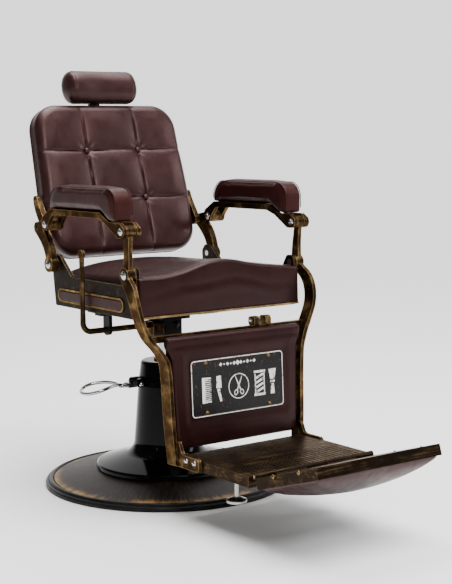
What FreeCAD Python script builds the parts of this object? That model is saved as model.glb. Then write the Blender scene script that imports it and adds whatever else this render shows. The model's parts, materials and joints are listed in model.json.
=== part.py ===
"""Hydraulic barber chair: one STEP solid per piece, in millimetres.

Row frame: origin on the floor on the swivel axis, +Z up, the sitter faces -Y and
the sitter's right hand is on the -X side, where both levers are.
"""
import FreeCAD, Part

import math
import os

V = FreeCAD.Vector
X_AXIS = V(1, 0, 0)
Y_AXIS = V(0, 1, 0)
Z_AXIS = V(0, 0, 1)

# ---- driving dimensions -------------------------------------------------------------
# floor base and pump
BASE_R = 350.0            # rubber moulding that meets the floor
RIM_H = 22.0
PLATE_R = 326.0           # cast plate inside the moulding
PLATE_EDGE_Z = 19.0
PLATE_TOP_Z = 46.0
SKIRT_R = 204.0           # flared skirt of the pump cover
COVER_TOP_R = 80.0
COVER_TOP_Z = 283.0
COVER_SPLIT_Z = 84.0      # joint between the tower and the skirt
HEAD_TOP_R = 70.0         # turning head above the cover
HEAD_TOP_Z = 352.0
PISTON_R = 20.0
PISTON_LOW_Z = 90.0
COLUMN_Z = 412.0          # underside of the block on the piston
LEVER_PIVOT_X = -97.0     # pump lever
LEVER_PIVOT_Z = 292.0
LEVER_TIP_X = -278.0
LEVER_ROD_R = 4.5

# the four-bar frame, seen from the side as (y, z)
REAR_SEAT_PIVOT = (150.0, 632.0)
FRONT_SEAT_PIVOT = (-250.0, 632.0)
REAR_ARM_PIVOT = (140.0, 745.0)
FRONT_ARM_PIVOT = (-260.0, 745.0)
LINK_X = 278.0            # middle plane of the castings and of the legs' top ends
EYE_HALF = 12.0           # half thickness of each eye
SEAT_PIN_R = 8.0
ARM_PIN_R = 7.0
RUN = 0.06                # running clearance on the radius
OPEN_RUN = 0.3            # clearance of the front arm pivots

# seat
SEAT_HALF = 264.0
PLATE_T = 10.0            # side plates
PAN_Z = 515.0
PAN_T = 14.0
PAN_FRONT_Y = -270.0
PAN_REAR_Y = 158.0
SIDE_TOP_Z = 600.0
SEAT_SHOULDER_Z = (617.0, 600.0)     # at the front and at the rear
SEAT_CROWN_Z = (649.0, 636.0)
APRON_T = 13.0
INLAY_Z = 546.5
INLAY_HALF = 14.5
INLAY_Y = (-203.0, 135.0)

# reclining back, measured in its own tilted plane
BACK_TILT = 16.0
BACK_ORIGIN = (228.0, 805.0)
BACK_TOP = 287.0
BACK_LOW = -163.0
BACK_HALF_TOP = 238.0
BACK_HALF_LOW = 250.0
BACK_FRONT = 12.0
CUSHION_BACK = -46.0
FRAME_BACK = -72.0
POST_HALF = 18.0
POST_N = (-66.0, -58.0)
HEADREST_S = 343.0
HEADREST_HALF = (120.0, 49.0, 40.0)

# armrests
PAD_X = (248.0, 308.0)
PAD_TOP_Z = 857.0
PAD_REAR_Y = 112.0
PAD_FRONT_Y = -243.0
BAR_TOP_Z = 790.0
BAR_LOW_Z = 774.0
CHEEK_T = 11.0

# legs, leg panel and footrest
LEG_T = 11.0
PANEL_TOP_Z = 473.0
PANEL_LOW_Z = 180.0
PANEL_T = 20.0
PANEL_LEAN = 2.4
PANEL_FRONT_Y = -352.0
PLATE_SIZE = (305.0, 152.0)
PLATE_Z = 331.0
RIVET_OFFSET = (103.0, 66.0)
STEP_HALF = 197.5
STEP_Y = (-652.0, -372.0)
STEP_Z = (143.0, 171.0)
SHEET = 3.0
FLAP_HINGE = (-662.0, 172.0)
FLAP_TILT = 17.5
FLAP_HALF = 195.0
FLAP_LEN = 246.0
FLAP_SIDE = 28.0
FLAP_PAD_DROP = 76.0
FOOT_X = 168.0
FOOT_Y = -562.0
FOOT_R = 26.0

# recline lever
SHAFT_Y = -18.0
SHAFT_Z = 458.0
SHAFT_R = 8.0
HANDLE_X = -279.0
HANDLE_TOP_Z = 683.0
HANDLE_BEND = 25.0

# crossbar that ties the legs behind the top of the panel, with a pair of lugs
CROSSBAR_Y = (-309.0, -297.0)
CROSSBAR_Z = (457.0, 475.0)
LUG_X = ((86.0, 104.0), (124.0, 142.0))
LUG_TOP_Z = 498.0
LUG_PIN = (-289.5, 487.0)
LUG_PIN_R = 5.0

SIDES = {"left": 1, "right": -1}


# ---- drawing helpers ----------------------------------------------------------------
def box(x, y, z):
    """Box from three (low, high) pairs."""
    low = V(min(x), min(y), min(z))
    return Part.makeBox(max(x) - low.x, max(y) - low.y, max(z) - low.z, low)


def rod(start, end, radius):
    """Cylinder between two points."""
    axis = end - start
    return Part.makeCylinder(radius, axis.Length, start, axis)


def cross_rod(pivot, x0, x1, radius):
    """Cylinder along X on a (y, z) pivot."""
    return rod(V(min(x0, x1), *pivot), V(max(x0, x1), *pivot), radius)


def corner_edges(corners, place, closed=True):
    """Lines and tangent arcs through (a, b, radius) corners."""
    count = len(corners)
    spans = []
    for i, (a, b, radius) in enumerate(corners):
        point = V(a, b, 0)
        if not radius or (not closed and i in (0, count - 1)):
            spans.append((point, None, point))
            continue
        before = V(*corners[i - 1][:2], 0) - point
        after = V(*corners[(i + 1) % count][:2], 0) - point
        before.normalize()
        after.normalize()
        half = before.getAngle(after) / 2
        reach = radius / math.tan(half)
        inward = before + after
        inward.normalize()
        middle = point + inward * (radius / math.sin(half) - radius)
        spans.append((point + before * reach, middle, point + after * reach))
    edges = []
    last = count if closed else count - 1
    for i in range(count):
        start, middle, end = spans[i]
        if middle is not None:
            edges.append(Part.Arc(place(start), place(middle), place(end)).toShape())
        if i < last:
            following = spans[(i + 1) % count][0]
            if (following - end).Length > 1e-6:
                edges.append(Part.LineSegment(place(end), place(following)).toShape())
    return edges


def outline(corners, place):
    """Flat face inside a closed outline of (a, b, radius) corners."""
    return Part.Face(Part.Wire(corner_edges(corners, place)))


def side_view(corners, x0, x1):
    """Outline of (y, z, radius) corners, extruded along X."""
    face = outline(corners, lambda p: V(min(x0, x1), p.x, p.y))
    return face.extrude(X_AXIS * abs(x1 - x0))


def front_view(corners, y0, y1):
    """Outline of (x, z, radius) corners, extruded along Y."""
    face = outline(corners, lambda p: V(p.x, y0, p.y))
    return face.extrude(Y_AXIS * (y1 - y0))


def turned(corners):
    """Outline of (r, z, radius) corners, turned about the swivel axis."""
    face = outline(corners, lambda p: V(p.x, 0, p.y))
    return face.revolve(V(0, 0, 0), Z_AXIS, 360)


def ribbon(stations, place):
    """Face of a band with smooth edges; stations are (a, b, half width)."""
    left = []
    right = []
    for i, (a, b, half) in enumerate(stations):
        before = stations[max(i - 1, 0)]
        after = stations[min(i + 1, len(stations) - 1)]
        normal = V(-(after[1] - before[1]), after[0] - before[0], 0)
        normal.normalize()
        left.append(place(V(a, b, 0) + normal * half))
        right.append(place(V(a, b, 0) - normal * half))
    curves = []
    for points in (left, right):
        curve = Part.BSplineCurve()
        curve.interpolate(points)
        curves.append(curve.toShape())
    ends = [Part.LineSegment(left[k], right[k]).toShape() for k in (0, -1)]
    return Part.Face(Part.Wire(Part.__sortEdges__([curves[0], ends[1], curves[1], ends[0]])))


def side_ribbon(stations, x0, x1):
    """Band drawn in side view, extruded along X."""
    return ribbon(stations, lambda p: V(x0, p.x, p.y)).extrude(X_AXIS * (x1 - x0))


def mirrored(shape, side):
    """The shape as drawn for the sitter's left, or its mirror for the right."""
    return shape if side > 0 else shape.mirror(V(0, 0, 0), X_AXIS)


def softened(shape, radius, chosen):
    """Round the edges that the test picks."""
    edges = [edge for edge in shape.Edges if chosen(edge)]
    return shape.makeFillet(radius, edges)


def joined(*shapes):
    """One solid from shapes that touch or overlap."""
    return shapes[0].multiFuse(list(shapes[1:])).removeSplitter()


def dome(centre, axis, radius, height):
    """Round rivet or screw head standing on a face."""
    sphere_r = (radius ** 2 + height ** 2) / (2 * height)
    ball = Part.makeSphere(sphere_r, centre - axis * (sphere_r - height))
    return ball.common(Part.makeCylinder(radius + 1, height, centre, axis))


# ---- base and pump ------------------------------------------------------------------
def base_rim():
    """Rubber moulding: a thin sheet under the base with a rounded rim."""
    return turned([(0, 0, 0), (BASE_R, 0, 3), (BASE_R, RIM_H - 3, 9), (PLATE_R + 1, RIM_H, 3),
                   (PLATE_R + 1, 10, 0), (PLATE_R - 20, 10, 0), (PLATE_R - 20, 3, 0), (0, 3, 0)])


def base_plate():
    """Cast plate, a shallow hollow cone with a flat seat for the pump."""
    inner = SKIRT_R - 12
    return turned([(40, PLATE_TOP_Z, 0), (40, PLATE_TOP_Z - 7, 0), (inner - 6, PLATE_TOP_Z - 7, 20),
                   (PLATE_R - 28, 10, 0), (PLATE_R, 10, 0), (PLATE_R, PLATE_EDGE_Z, 3),
                   (inner, PLATE_TOP_Z, 12)])


def cover_shell():
    """Sheet cover of the pump, from its top to the base plate."""
    wall = 4.0
    return turned([(COVER_TOP_R, COVER_TOP_Z, 1), (96, 92, 42), (SKIRT_R - 2, 60, 7),
                   (SKIRT_R, PLATE_TOP_Z, 2), (SKIRT_R - wall, PLATE_TOP_Z, 0),
                   (SKIRT_R - wall - 2, 56, 3), (96 - wall, 88, 42 + wall),
                   (COVER_TOP_R - wall, COVER_TOP_Z, 0)])


def above_split():
    """The space above the joint of the pump cover."""
    reach = BASE_R
    return box((-reach, reach), (-reach, reach), (COVER_SPLIT_Z, COVER_TOP_Z + 50))


def pump_cover():
    """Tapered tower, which ends where its flare starts to widen."""
    return cover_shell().common(above_split())


def pump_skirt():
    """Wide skirt under the tower."""
    return cover_shell().cut(above_split())


def cylinder_tube():
    """Oil cylinder standing in the cover."""
    bore = PISTON_R + RUN
    wall = 7.0
    return turned([(0, PLATE_TOP_Z, 0), (62, PLATE_TOP_Z, 0), (62, PLATE_TOP_Z + 12, 0),
                   (bore + wall, PLATE_TOP_Z + 12, 0), (bore + wall, 262, 0), (bore, 262, 0),
                   (bore, 70, 0), (0, 70, 0)])


def pump_head():
    """Hollow cap that turns on the cover with the seat."""
    low = COVER_TOP_Z + 0.6
    spigot = COVER_TOP_R - 4.0 - 0.6
    wall = 9.0
    return turned([(26, low + 12, 0), (34, low + 12, 0), (34, HEAD_TOP_Z - wall, 0),
                   (HEAD_TOP_R - wall, HEAD_TOP_Z - wall, 4), (spigot - wall, low - 14, 0),
                   (spigot, low - 14, 0), (spigot, low, 0), (COVER_TOP_R, low, 1),
                   (COVER_TOP_R - 1, low + 8, 4), (HEAD_TOP_R + 1, HEAD_TOP_Z, 9),
                   (26, HEAD_TOP_Z, 0)])


def head_bushing():
    """Flanged brass bush that guides the piston."""
    bore = PISTON_R + RUN
    low = COVER_TOP_Z + 20
    return turned([(bore, low, 0), (26, low, 0), (26, HEAD_TOP_Z, 0), (34, HEAD_TOP_Z, 0),
                   (34, HEAD_TOP_Z + 5, 2), (bore, HEAD_TOP_Z + 5, 0)])


def lever_bracket():
    """Clevis on the side of the head that carries the pump lever."""
    pivot = V(LEVER_PIVOT_X, 0, LEVER_PIVOT_Z)
    body = box((-112, -66), (-23, 23), (COVER_TOP_Z + 2, COVER_TOP_Z + 26))
    slot = box((-125, -86), (-14, 14), (COVER_TOP_Z - 5, COVER_TOP_Z + 40))
    body = softened(body, 8, lambda e: e.Curve.TypeId == "Part::GeomLine" and
                    all(abs(v.X + 112) < 0.1 for v in e.Vertexes) and e.Length > 40)
    hole = rod(pivot - Y_AXIS * 30, pivot + Y_AXIS * 30, 5)
    return body.cut(slot).cut(hole).cut(pump_head())


def lever_pin():
    """Headed pin through the lever clevis."""
    low = V(LEVER_PIVOT_X, -23, LEVER_PIVOT_Z)
    shank = rod(low, low + Y_AXIS * 46, 5)
    return joined(shank, dome(low, -Y_AXIS, 8, 4), dome(low + Y_AXIS * 46, Y_AXIS, 8, 4))


def lever_clamp():
    """Forged hub that holds both ends of the pump lever's rod."""
    pivot = V(LEVER_PIVOT_X, 0, LEVER_PIVOT_Z)
    hub = rod(pivot - Y_AXIS * 13, pivot + Y_AXIS * 13, 9)
    arm = box((-134, LEVER_PIVOT_X), (-16 + 3, 16 - 3), (LEVER_PIVOT_Z - 7, LEVER_PIVOT_Z + 7))
    body = joined(hub, arm).cut(rod(pivot - Y_AXIS * 30, pivot + Y_AXIS * 30, 5 + RUN))
    for y in (-7.5, 7.5):
        body = body.cut(rod(V(-140, y, LEVER_PIVOT_Z), V(-114, y, LEVER_PIVOT_Z), LEVER_ROD_R))
    return body


def lever_rod():
    """Bent chrome rod: two legs that arch up, spread and meet in a rounded pedal."""
    tip = LEVER_TIP_X + LEVER_ROD_R
    half = [(-137, 7.5, 0), (-165, 19, 7), (-200, 37, 10), (-238, 44, 4), (-264, 28, -4)]
    loop = half + [(tip, 0, -7)] + [(x, -y, z) for x, y, z in reversed(half)]
    curve = Part.BSplineCurve()
    curve.interpolate([V(x, y, LEVER_PIVOT_Z + z) for x, y, z in loop],
                      InitialTangent=-X_AXIS, FinalTangent=X_AXIS)
    ends = [V(-115, y, LEVER_PIVOT_Z) for y in (7.5, -7.5)]
    wire = Part.Wire([Part.makeLine(ends[0], curve.StartPoint), curve.toShape(),
                      Part.makeLine(curve.EndPoint, ends[1])])
    profile = Part.Wire(Part.makeCircle(LEVER_ROD_R, V(-115, 7.5, LEVER_PIVOT_Z), X_AXIS))
    return wire.makePipeShell([profile], True, False)


# ---- column head and seat carrier ---------------------------------------------------
def piston():
    """Hollow chrome ram that lifts and carries the seat."""
    bore = PISTON_R - 6
    return turned([(bore, PISTON_LOW_Z, 0), (PISTON_R, PISTON_LOW_Z, 2), (PISTON_R, COLUMN_Z, 0),
                   (0, COLUMN_Z, 0), (0, COLUMN_Z - 10, 0), (bore, COLUMN_Z - 10, 0)])


def column_block():
    """Black cast block on the ram, with a large bolt in front."""
    body = box((-32, 32), (-42, 42), (COLUMN_Z, COLUMN_Z + 60))
    body = softened(body, 6, lambda e: e.Length > 59.9 and e.Length < 60.1)
    return joined(body, dome(V(10, -42, COLUMN_Z + 44), -Y_AXIS, 11, 6))


def lock_housing():
    """Bronze housing beside the block in which the recline shaft turns."""
    body = box((-66, -32), (-42, 8), (430, 470))
    body = softened(body, 8, lambda e: e.Length > 33.9 and e.Length < 34.1)
    return body.cut(cross_rod((SHAFT_Y, SHAFT_Z), -70, -36, SHAFT_R + RUN))


def carrier_frame():
    """Cross-shaped steel frame between the block and the seat pan."""
    hub = box((-48, 48), (-56, 56), (COLUMN_Z + 60, 505))
    arms = box((-235, 235), (-32, 32), (505, PAN_Z))
    spine = box((-32, 32), (-215, 150), (505, PAN_Z))
    return joined(hub, arms, spine)


def seat_pan():
    """Flat board under the seat cushion."""
    half = SEAT_HALF - PLATE_T
    return box((-half, half), (PAN_FRONT_Y, PAN_REAR_Y), (PAN_Z, PAN_Z + PAN_T))


def side_plate(side):
    """Seat side plate with an ear for each seat pivot."""
    ry, rz = REAR_SEAT_PIVOT
    fy, fz = FRONT_SEAT_PIVOT
    corners = [(PAN_FRONT_Y, PAN_Z, 4), (PAN_REAR_Y, PAN_Z, 6), (PAN_REAR_Y + 14, rz - 18, 20),
               (ry + 24, rz + 8, 14), (ry + 8, rz + 26, 14), (ry - 18, rz + 26, 12),
               (66, SIDE_TOP_Z, 30), (fy + 44, SIDE_TOP_Z, 18), (fy + 12, fz + 20, 12),
               (fy - 18, fz + 20, 14), (PAN_FRONT_Y, fz - 4, 14)]
    inner = SEAT_HALF - PLATE_T
    plate = side_view(corners, inner, SEAT_HALF)
    for pivot in (REAR_SEAT_PIVOT, FRONT_SEAT_PIVOT):
        plate = plate.cut(cross_rod(pivot, inner - 1, SEAT_HALF + 1, SEAT_PIN_R))
    return mirrored(plate, side)


def inlay_corners(grow):
    """Stadium outline of the inlay, grown all round."""
    low, high = INLAY_Z - INLAY_HALF - grow, INLAY_Z + INLAY_HALF + grow
    y0, y1 = INLAY_Y[0] - grow, INLAY_Y[1] + grow
    radius = INLAY_HALF + grow - 0.5
    return [(y0, low, radius), (y1, low, radius), (y1, high, radius), (y0, high, radius)]


def side_inlay(side):
    """Leather-covered panel on the outside of the side plate."""
    return mirrored(side_view(inlay_corners(0), SEAT_HALF, SEAT_HALF + 2.5), side)


def inlay_trim(side):
    """Raised moulding around the inlay."""
    ring = side_view(inlay_corners(4), SEAT_HALF, SEAT_HALF + 3.5)
    return mirrored(ring.cut(side_view(inlay_corners(0), SEAT_HALF - 1, SEAT_HALF + 9)), side)


def seat_section(y, shoulder, crown):
    """Outline of the cushion across the seat: flat below, bowed above."""
    half = SEAT_HALF - PLATE_T - 1
    low = PAN_Z + PAN_T
    bow = Part.Arc(V(half, y, shoulder), V(0, y, crown), V(-half, y, shoulder)).toShape()
    corners = [V(-half, y, shoulder), V(-half, y, low), V(half, y, low), V(half, y, shoulder)]
    sides = [Part.LineSegment(p, q).toShape() for p, q in zip(corners, corners[1:])]
    return Part.Wire([bow] + sides)


def seat_cushion():
    """Crowned cushion between the side plates with an apron down its front."""
    half = SEAT_HALF - PLATE_T - 1
    low = PAN_Z + PAN_T
    back_of_apron = PAN_FRONT_Y - 1
    body = Part.makeLoft([seat_section(back_of_apron, SEAT_SHOULDER_Z[0], SEAT_CROWN_Z[0]),
                          seat_section(PAN_REAR_Y, SEAT_SHOULDER_Z[1], SEAT_CROWN_Z[1])], True)
    top = SEAT_CROWN_Z[0] + 3
    profile = [(back_of_apron, low, 0), (PAN_REAR_Y, low, 0), (PAN_REAR_Y, top - 14, 40),
               (0, top, 300), (back_of_apron, top, 0)]
    body = body.common(side_view(profile, -half - 5, half + 5))
    shoulder, crown = SEAT_SHOULDER_Z[0] - 2, SEAT_CROWN_Z[0] - 6
    apron = front_view([(-SEAT_HALF + 1, PAN_Z + 3, 3), (SEAT_HALF - 1, PAN_Z + 3, 3),
                        (SEAT_HALF - 1, shoulder, 14), (60, crown, 200),
                        (-60, crown, 200), (-SEAT_HALF + 1, shoulder, 14)],
                       back_of_apron - APRON_T, back_of_apron)
    return joined(body, apron)


def seat_trim():
    """Brass strip along the bottom of the apron."""
    front = PAN_FRONT_Y - 1 - APRON_T
    half = SEAT_HALF - 6
    return box((-half, half), (front - 2.5, front), (PAN_Z + 4, PAN_Z + 8))


def shaft_hanger():
    """Bearing plate for the recline shaft under the pan."""
    plate = side_view([(SHAFT_Y - 16, PAN_Z, 0), (SHAFT_Y - 16, SHAFT_Z - 15, 14),
                       (SHAFT_Y + 16, SHAFT_Z - 15, 14), (SHAFT_Y + 16, PAN_Z, 0)], -206, -196)
    foot = box((-232, -196), (SHAFT_Y - 16, SHAFT_Y + 16), (PAN_Z - 16, PAN_Z))
    plate = joined(plate, foot).cut(carrier_frame())
    return plate.cut(cross_rod((SHAFT_Y, SHAFT_Z), -260, -150, SHAFT_R + RUN))


def seat_pin(pivot, side):
    """Headed pin in a seat ear, on which a casting or a leg turns."""
    inner = SEAT_HALF - PLATE_T
    outer = LINK_X + EYE_HALF + 0.8
    shank = cross_rod(pivot, inner, outer, SEAT_PIN_R)
    return mirrored(joined(shank, dome(V(outer, *pivot), X_AXIS, 12, 5)), side)


def recline_lever():
    """Bent bar: a flat tapered handle, an elbow and the round shaft under the seat."""
    bend_x = HANDLE_X + HANDLE_BEND
    shaft = rod(V(bend_x, SHAFT_Y, SHAFT_Z), V(-37, SHAFT_Y, SHAFT_Z), SHAFT_R)
    section = Part.Face(Part.Wire(Part.makeCircle(SHAFT_R, V(bend_x, SHAFT_Y, SHAFT_Z), X_AXIS)))
    elbow = section.revolve(V(bend_x, SHAFT_Y, SHAFT_Z + HANDLE_BEND), Y_AXIS, 90)
    rings = []
    for z, half_x, half_y in ((SHAFT_Z + HANDLE_BEND, SHAFT_R, SHAFT_R),
                              (SHAFT_Z + 70, 6.5, 8.5), (HANDLE_TOP_Z - 12, 4.5, 12.5)):
        ring = Part.Ellipse(V(HANDLE_X, SHAFT_Y + half_y, z), V(HANDLE_X - half_x, SHAFT_Y, z),
                            V(HANDLE_X, SHAFT_Y, z))
        if half_x == half_y:
            ring = Part.Circle(V(HANDLE_X, SHAFT_Y, z), Z_AXIS, half_x)
        rings.append(Part.Wire(ring.toShape()))
    blade = Part.makeLoft(rings, True)
    tip = cross_rod((SHAFT_Y, HANDLE_TOP_Z - 12.5), HANDLE_X - 4.4, HANDLE_X + 4.4, 12.4)
    return joined(shaft, elbow, blade, tip)


# ---- reclining back -----------------------------------------------------------------
def back_point(x, s, n):
    """Point at x, s up the back and n forward of its face plane."""
    tilt = math.radians(BACK_TILT)
    y = BACK_ORIGIN[0] + s * math.sin(tilt) - n * math.cos(tilt)
    z = BACK_ORIGIN[1] + s * math.cos(tilt) + n * math.sin(tilt)
    return V(x, y, z)


BACK_NORMAL = back_point(0, 0, 1) - back_point(0, 0, 0)
BACK_UP = back_point(0, 1, 0) - back_point(0, 0, 0)


def back_slab(inset, n0, n1):
    """The back's rounded outline between two depths."""
    top, low = BACK_TOP - inset, BACK_LOW + inset
    half_top, half_low = BACK_HALF_TOP - inset, BACK_HALF_LOW - inset
    corners = [(-half_low + 8, low, 72), (half_low - 8, low, 72), (half_low, 0, 500),
               (half_top, top, 78 - inset), (-half_top, top, 78 - inset), (-half_low, 0, 500)]
    face = outline(corners, lambda p: back_point(p.x, p.y, min(n0, n1)))
    return face.extrude(BACK_NORMAL * abs(n1 - n0))


def back_box(x, s, n):
    """Box in the back's own frame."""
    face = outline([(x[0], s[0], 0), (x[1], s[0], 0), (x[1], s[1], 0), (x[0], s[1], 0)],
                   lambda p: back_point(p.x, p.y, min(n)))
    return face.extrude(BACK_NORMAL * abs(n[1] - n[0]))


def depth_of(point):
    """How far a point stands forward of the back's face plane."""
    return (point - back_point(0, 0, 0)).dot(BACK_NORMAL)


def back_cushion():
    """Padded front of the back."""
    slab = back_slab(0, CUSHION_BACK, BACK_FRONT)
    return softened(slab, 20, lambda e: all(abs(depth_of(v.Point) - BACK_FRONT) < 0.1
                                            for v in e.Vertexes))


def back_frame():
    """Covered board behind the cushion, with a pocket for the headrest post."""
    slab = back_slab(8, FRAME_BACK, CUSHION_BACK)
    slab = softened(slab, 12, lambda e: all(abs(depth_of(v.Point) - FRAME_BACK) < 0.1
                                            for v in e.Vertexes))
    gap = 0.4
    return slab.cut(back_box((-POST_HALF - gap, POST_HALF + gap), (90, BACK_TOP + 5),
                             (POST_N[0] - gap, POST_N[1] + gap)))


def back_link(side):
    """Cast Y: seat pivot at the foot, arm pivot in front, two screws to the back."""
    ay, az = REAR_SEAT_PIVOT
    cy, cz = REAR_ARM_PIVOT
    thin = EYE_HALF - 3
    inner = BACK_HALF_LOW + 1
    knee = (ay + 68, az + 100)
    tip = (ay + 110, az + 176)
    spine = side_ribbon([(ay, az, 18), (ay + 8, az + 36, 17), (ay + 34, az + 74, 18),
                         (*knee, 16)], LINK_X - thin, LINK_X + thin)
    arm = side_ribbon([(cy, cz, 15), (cy + 36, cz - 3, 13), (*knee, 15)],
                      LINK_X - thin, LINK_X + thin)
    upper = side_ribbon([(knee[0] - 4, knee[1] - 12, 15), (*knee, 15), (knee[0] + 23, knee[1] + 38, 14),
                         (*tip, 12)], inner, inner + 16)
    bosses = [cross_rod(knee, inner, LINK_X + thin, 16), cross_rod(tip, inner, inner + 16, 12)]
    eyes = [cross_rod(REAR_SEAT_PIVOT, LINK_X - EYE_HALF, LINK_X + EYE_HALF, 22),
            cross_rod(REAR_ARM_PIVOT, LINK_X - EYE_HALF, LINK_X + EYE_HALF, 17)]
    screws = [dome(V(inner + 16, *tip), X_AXIS, 7, 3), dome(V(LINK_X + thin, *knee), X_AXIS, 7, 3)]
    body = joined(spine, arm, upper, *bosses, *eyes, *screws)
    body = body.cut(cross_rod(REAR_SEAT_PIVOT, 200, 400, SEAT_PIN_R + RUN))
    body = body.cut(cross_rod(REAR_ARM_PIVOT, 200, 400, ARM_PIN_R + RUN))
    return mirrored(body.cut(back_slab(0, CUSHION_BACK, BACK_FRONT)), side)


def headrest_collar():
    """Steel plate around the post on the top of the back."""
    gap = 0.4
    plate = back_box((-34, 34), (BACK_TOP - 8, BACK_TOP - 5), (FRAME_BACK + 2, CUSHION_BACK - 2))
    return plate.cut(back_box((-POST_HALF - gap, POST_HALF + gap), (BACK_TOP - 20, BACK_TOP + 5),
                              (POST_N[0] - gap, POST_N[1] + gap)))


def headrest_post():
    """Flat post with the plate that holds the headrest."""
    post = back_box((-POST_HALF, POST_HALF), (110, HEADREST_S + 30), POST_N)
    plate = back_box((-50, 50), (HEADREST_S - 26, HEADREST_S + 30), (POST_N[1], POST_N[1] + 4))
    return joined(post, plate)


def headrest_cushion():
    """Bolster with rounded ends and a flat back."""
    half_x, half_s, half_n = HEADREST_HALF
    centre_n = POST_N[1] + 4 + half_n
    corners = [(centre_n - half_n, -half_s, 26), (centre_n + half_n, -half_s, 38),
               (centre_n + half_n, half_s, 38), (centre_n - half_n, half_s, 26)]
    face = outline(corners, lambda p: back_point(-half_x, HEADREST_S + p.y, p.x))
    bar = face.extrude(X_AXIS * 2 * half_x)
    return softened(bar, 20, lambda e: all(abs(abs(v.X) - half_x) < 0.1 for v in e.Vertexes))


# ---- armrests -----------------------------------------------------------------------
def arm_pad(side):
    """Pad with a rounded tail and a nose that drops over the bracket."""
    corners = [(PAD_REAR_Y, BAR_TOP_Z, 6), (PAD_REAR_Y, PAD_TOP_Z, 56), (PAD_FRONT_Y, PAD_TOP_Z, 46),
               (PAD_FRONT_Y, 768, 5), (-204, 768, 8), (-158, BAR_TOP_Z, 20)]
    pad = side_view(corners, *PAD_X)
    pad = softened(pad, 8, lambda e: all(abs(v.X - PAD_X[0]) < 0.1 for v in e.Vertexes) or
                   all(abs(v.X - PAD_X[1]) < 0.1 for v in e.Vertexes))
    return mirrored(pad, side)


def arm_bracket(side):
    """Channel under the pad: two cheeks with ears, joined by a web."""
    cy, cz = REAR_ARM_PIVOT
    dy, dz = FRONT_ARM_PIVOT
    ear = 17.0
    cheek = [(PAD_REAR_Y - 4, BAR_TOP_Z, 6), (-158, BAR_TOP_Z, 20), (-204, 767, 8), (dy + 6, 767, 12),
             (dy - ear, dz + 8, 14), (dy - ear, dz - ear, 16), (dy + ear, dz - ear, 16),
             (-186, BAR_LOW_Z - 12, 30), (-150, BAR_LOW_Z, 30), (cy - 42, BAR_LOW_Z, 18),
             (cy - ear, cz, 10), (cy - ear, cz - ear, 16), (cy + ear, cz - ear, 16),
             (cy + ear, cz + ear, 14)]
    inner = LINK_X - EYE_HALF - 3
    outer = LINK_X + EYE_HALF + 3
    cheeks = [side_view(cheek, inner - CHEEK_T, inner), side_view(cheek, outer, outer + CHEEK_T)]
    web = box((inner, outer), (-150, PAD_REAR_Y - 14), (BAR_TOP_Z - 8, BAR_TOP_Z))
    body = joined(cheeks[0], cheeks[1], web)
    for pivot in (REAR_ARM_PIVOT, FRONT_ARM_PIVOT):
        body = body.cut(cross_rod(pivot, 200, 400, ARM_PIN_R))
    return mirrored(body, side)


def arm_pin(pivot, side):
    """Pin with a domed head on each cheek."""
    low = LINK_X - EYE_HALF - 3 - CHEEK_T
    high = LINK_X + EYE_HALF + 3 + CHEEK_T
    shank = cross_rod(pivot, low, high, ARM_PIN_R)
    return mirrored(joined(shank, dome(V(low, *pivot), -X_AXIS, 10, 4),
                           dome(V(high, *pivot), X_AXIS, 10, 4)), side)


# ---- legs, leg panel and footrest ---------------------------------------------------
def leg(side):
    """S-shaped leg: eyes at the arm and seat pivots, a rail and a foot flange."""
    dy, dz = FRONT_ARM_PIVOT
    by, bz = FRONT_SEAT_PIVOT
    side_band = side_ribbon([(dy, dz, 11), (dy + 6, dz - 55, 12), (by - 1, bz + 18, 14), (by, bz, 15),
                             (-262, 612, 16), (-279, 597, 18), (-294, 572, 19), (-303, 540, 19),
                             (-306, 510, 19), (-307, 480, 19), (-312, 455, 19), (-322, 430, 19),
                             (-328, 400, 20), (-331, 340, 20), (-335, 250, 20), (-339, 180, 20),
                             (-341, 141, 20)], 180, 310)
    half = LEG_T / 2
    front_band = ribbon([(LINK_X, dz, half), (LINK_X, 690, half), (LINK_X + 1, 650, half),
                         (LINK_X + 4, bz, half), (287.5, 600, half), (289, 570, half), (286, 540, half),
                         (280, 515, half), (272, 495, half), (259, 470, half), (244, 450, half),
                         (231, 430, half), (222, 410, half), (218, 385, half), (214.5, 300, half),
                         (210, 200, half), (207, 160, half), (206.5, 141, half)],
                        lambda p: V(p.x, -400, p.y))
    bar = side_band.common(front_band.extrude(Y_AXIS * 200))
    flange = side_view([(-455, STEP_Z[0] - 2, 10), (-455, STEP_Z[1] + 4, 12), (-381, STEP_Z[1] + 4, 14),
                        (-366, STEP_Z[1] + 34, 5), (-356, STEP_Z[1] + 34, 0), (-356, STEP_Z[0] - 2, 0)],
                       STEP_HALF, STEP_HALF + 9)
    eyes = [cross_rod(FRONT_ARM_PIVOT, LINK_X - EYE_HALF, LINK_X + EYE_HALF, 16),
            cross_rod(FRONT_SEAT_PIVOT, LINK_X - EYE_HALF, LINK_X + EYE_HALF, 20)]
    middle_z = sum(STEP_Z) / 2
    screws = [dome(V(STEP_HALF + 9, y, middle_z), X_AXIS, 7.5, 4) for y in (-398, -434)]
    body = joined(bar, flange, *eyes, *screws)
    body = body.cut(cross_rod(FRONT_ARM_PIVOT, 200, 400, ARM_PIN_R + OPEN_RUN))
    body = body.cut(cross_rod(FRONT_SEAT_PIVOT, 200, 400, SEAT_PIN_R + RUN))
    return mirrored(body, side)


def leaned(shape):
    """Lean a panel drawn upright by the panel's slope."""
    turned_shape = shape.copy()
    turned_shape.rotate(V(0, PANEL_FRONT_Y, PANEL_LOW_Z), X_AXIS, -PANEL_LEAN)
    return turned_shape


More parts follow.
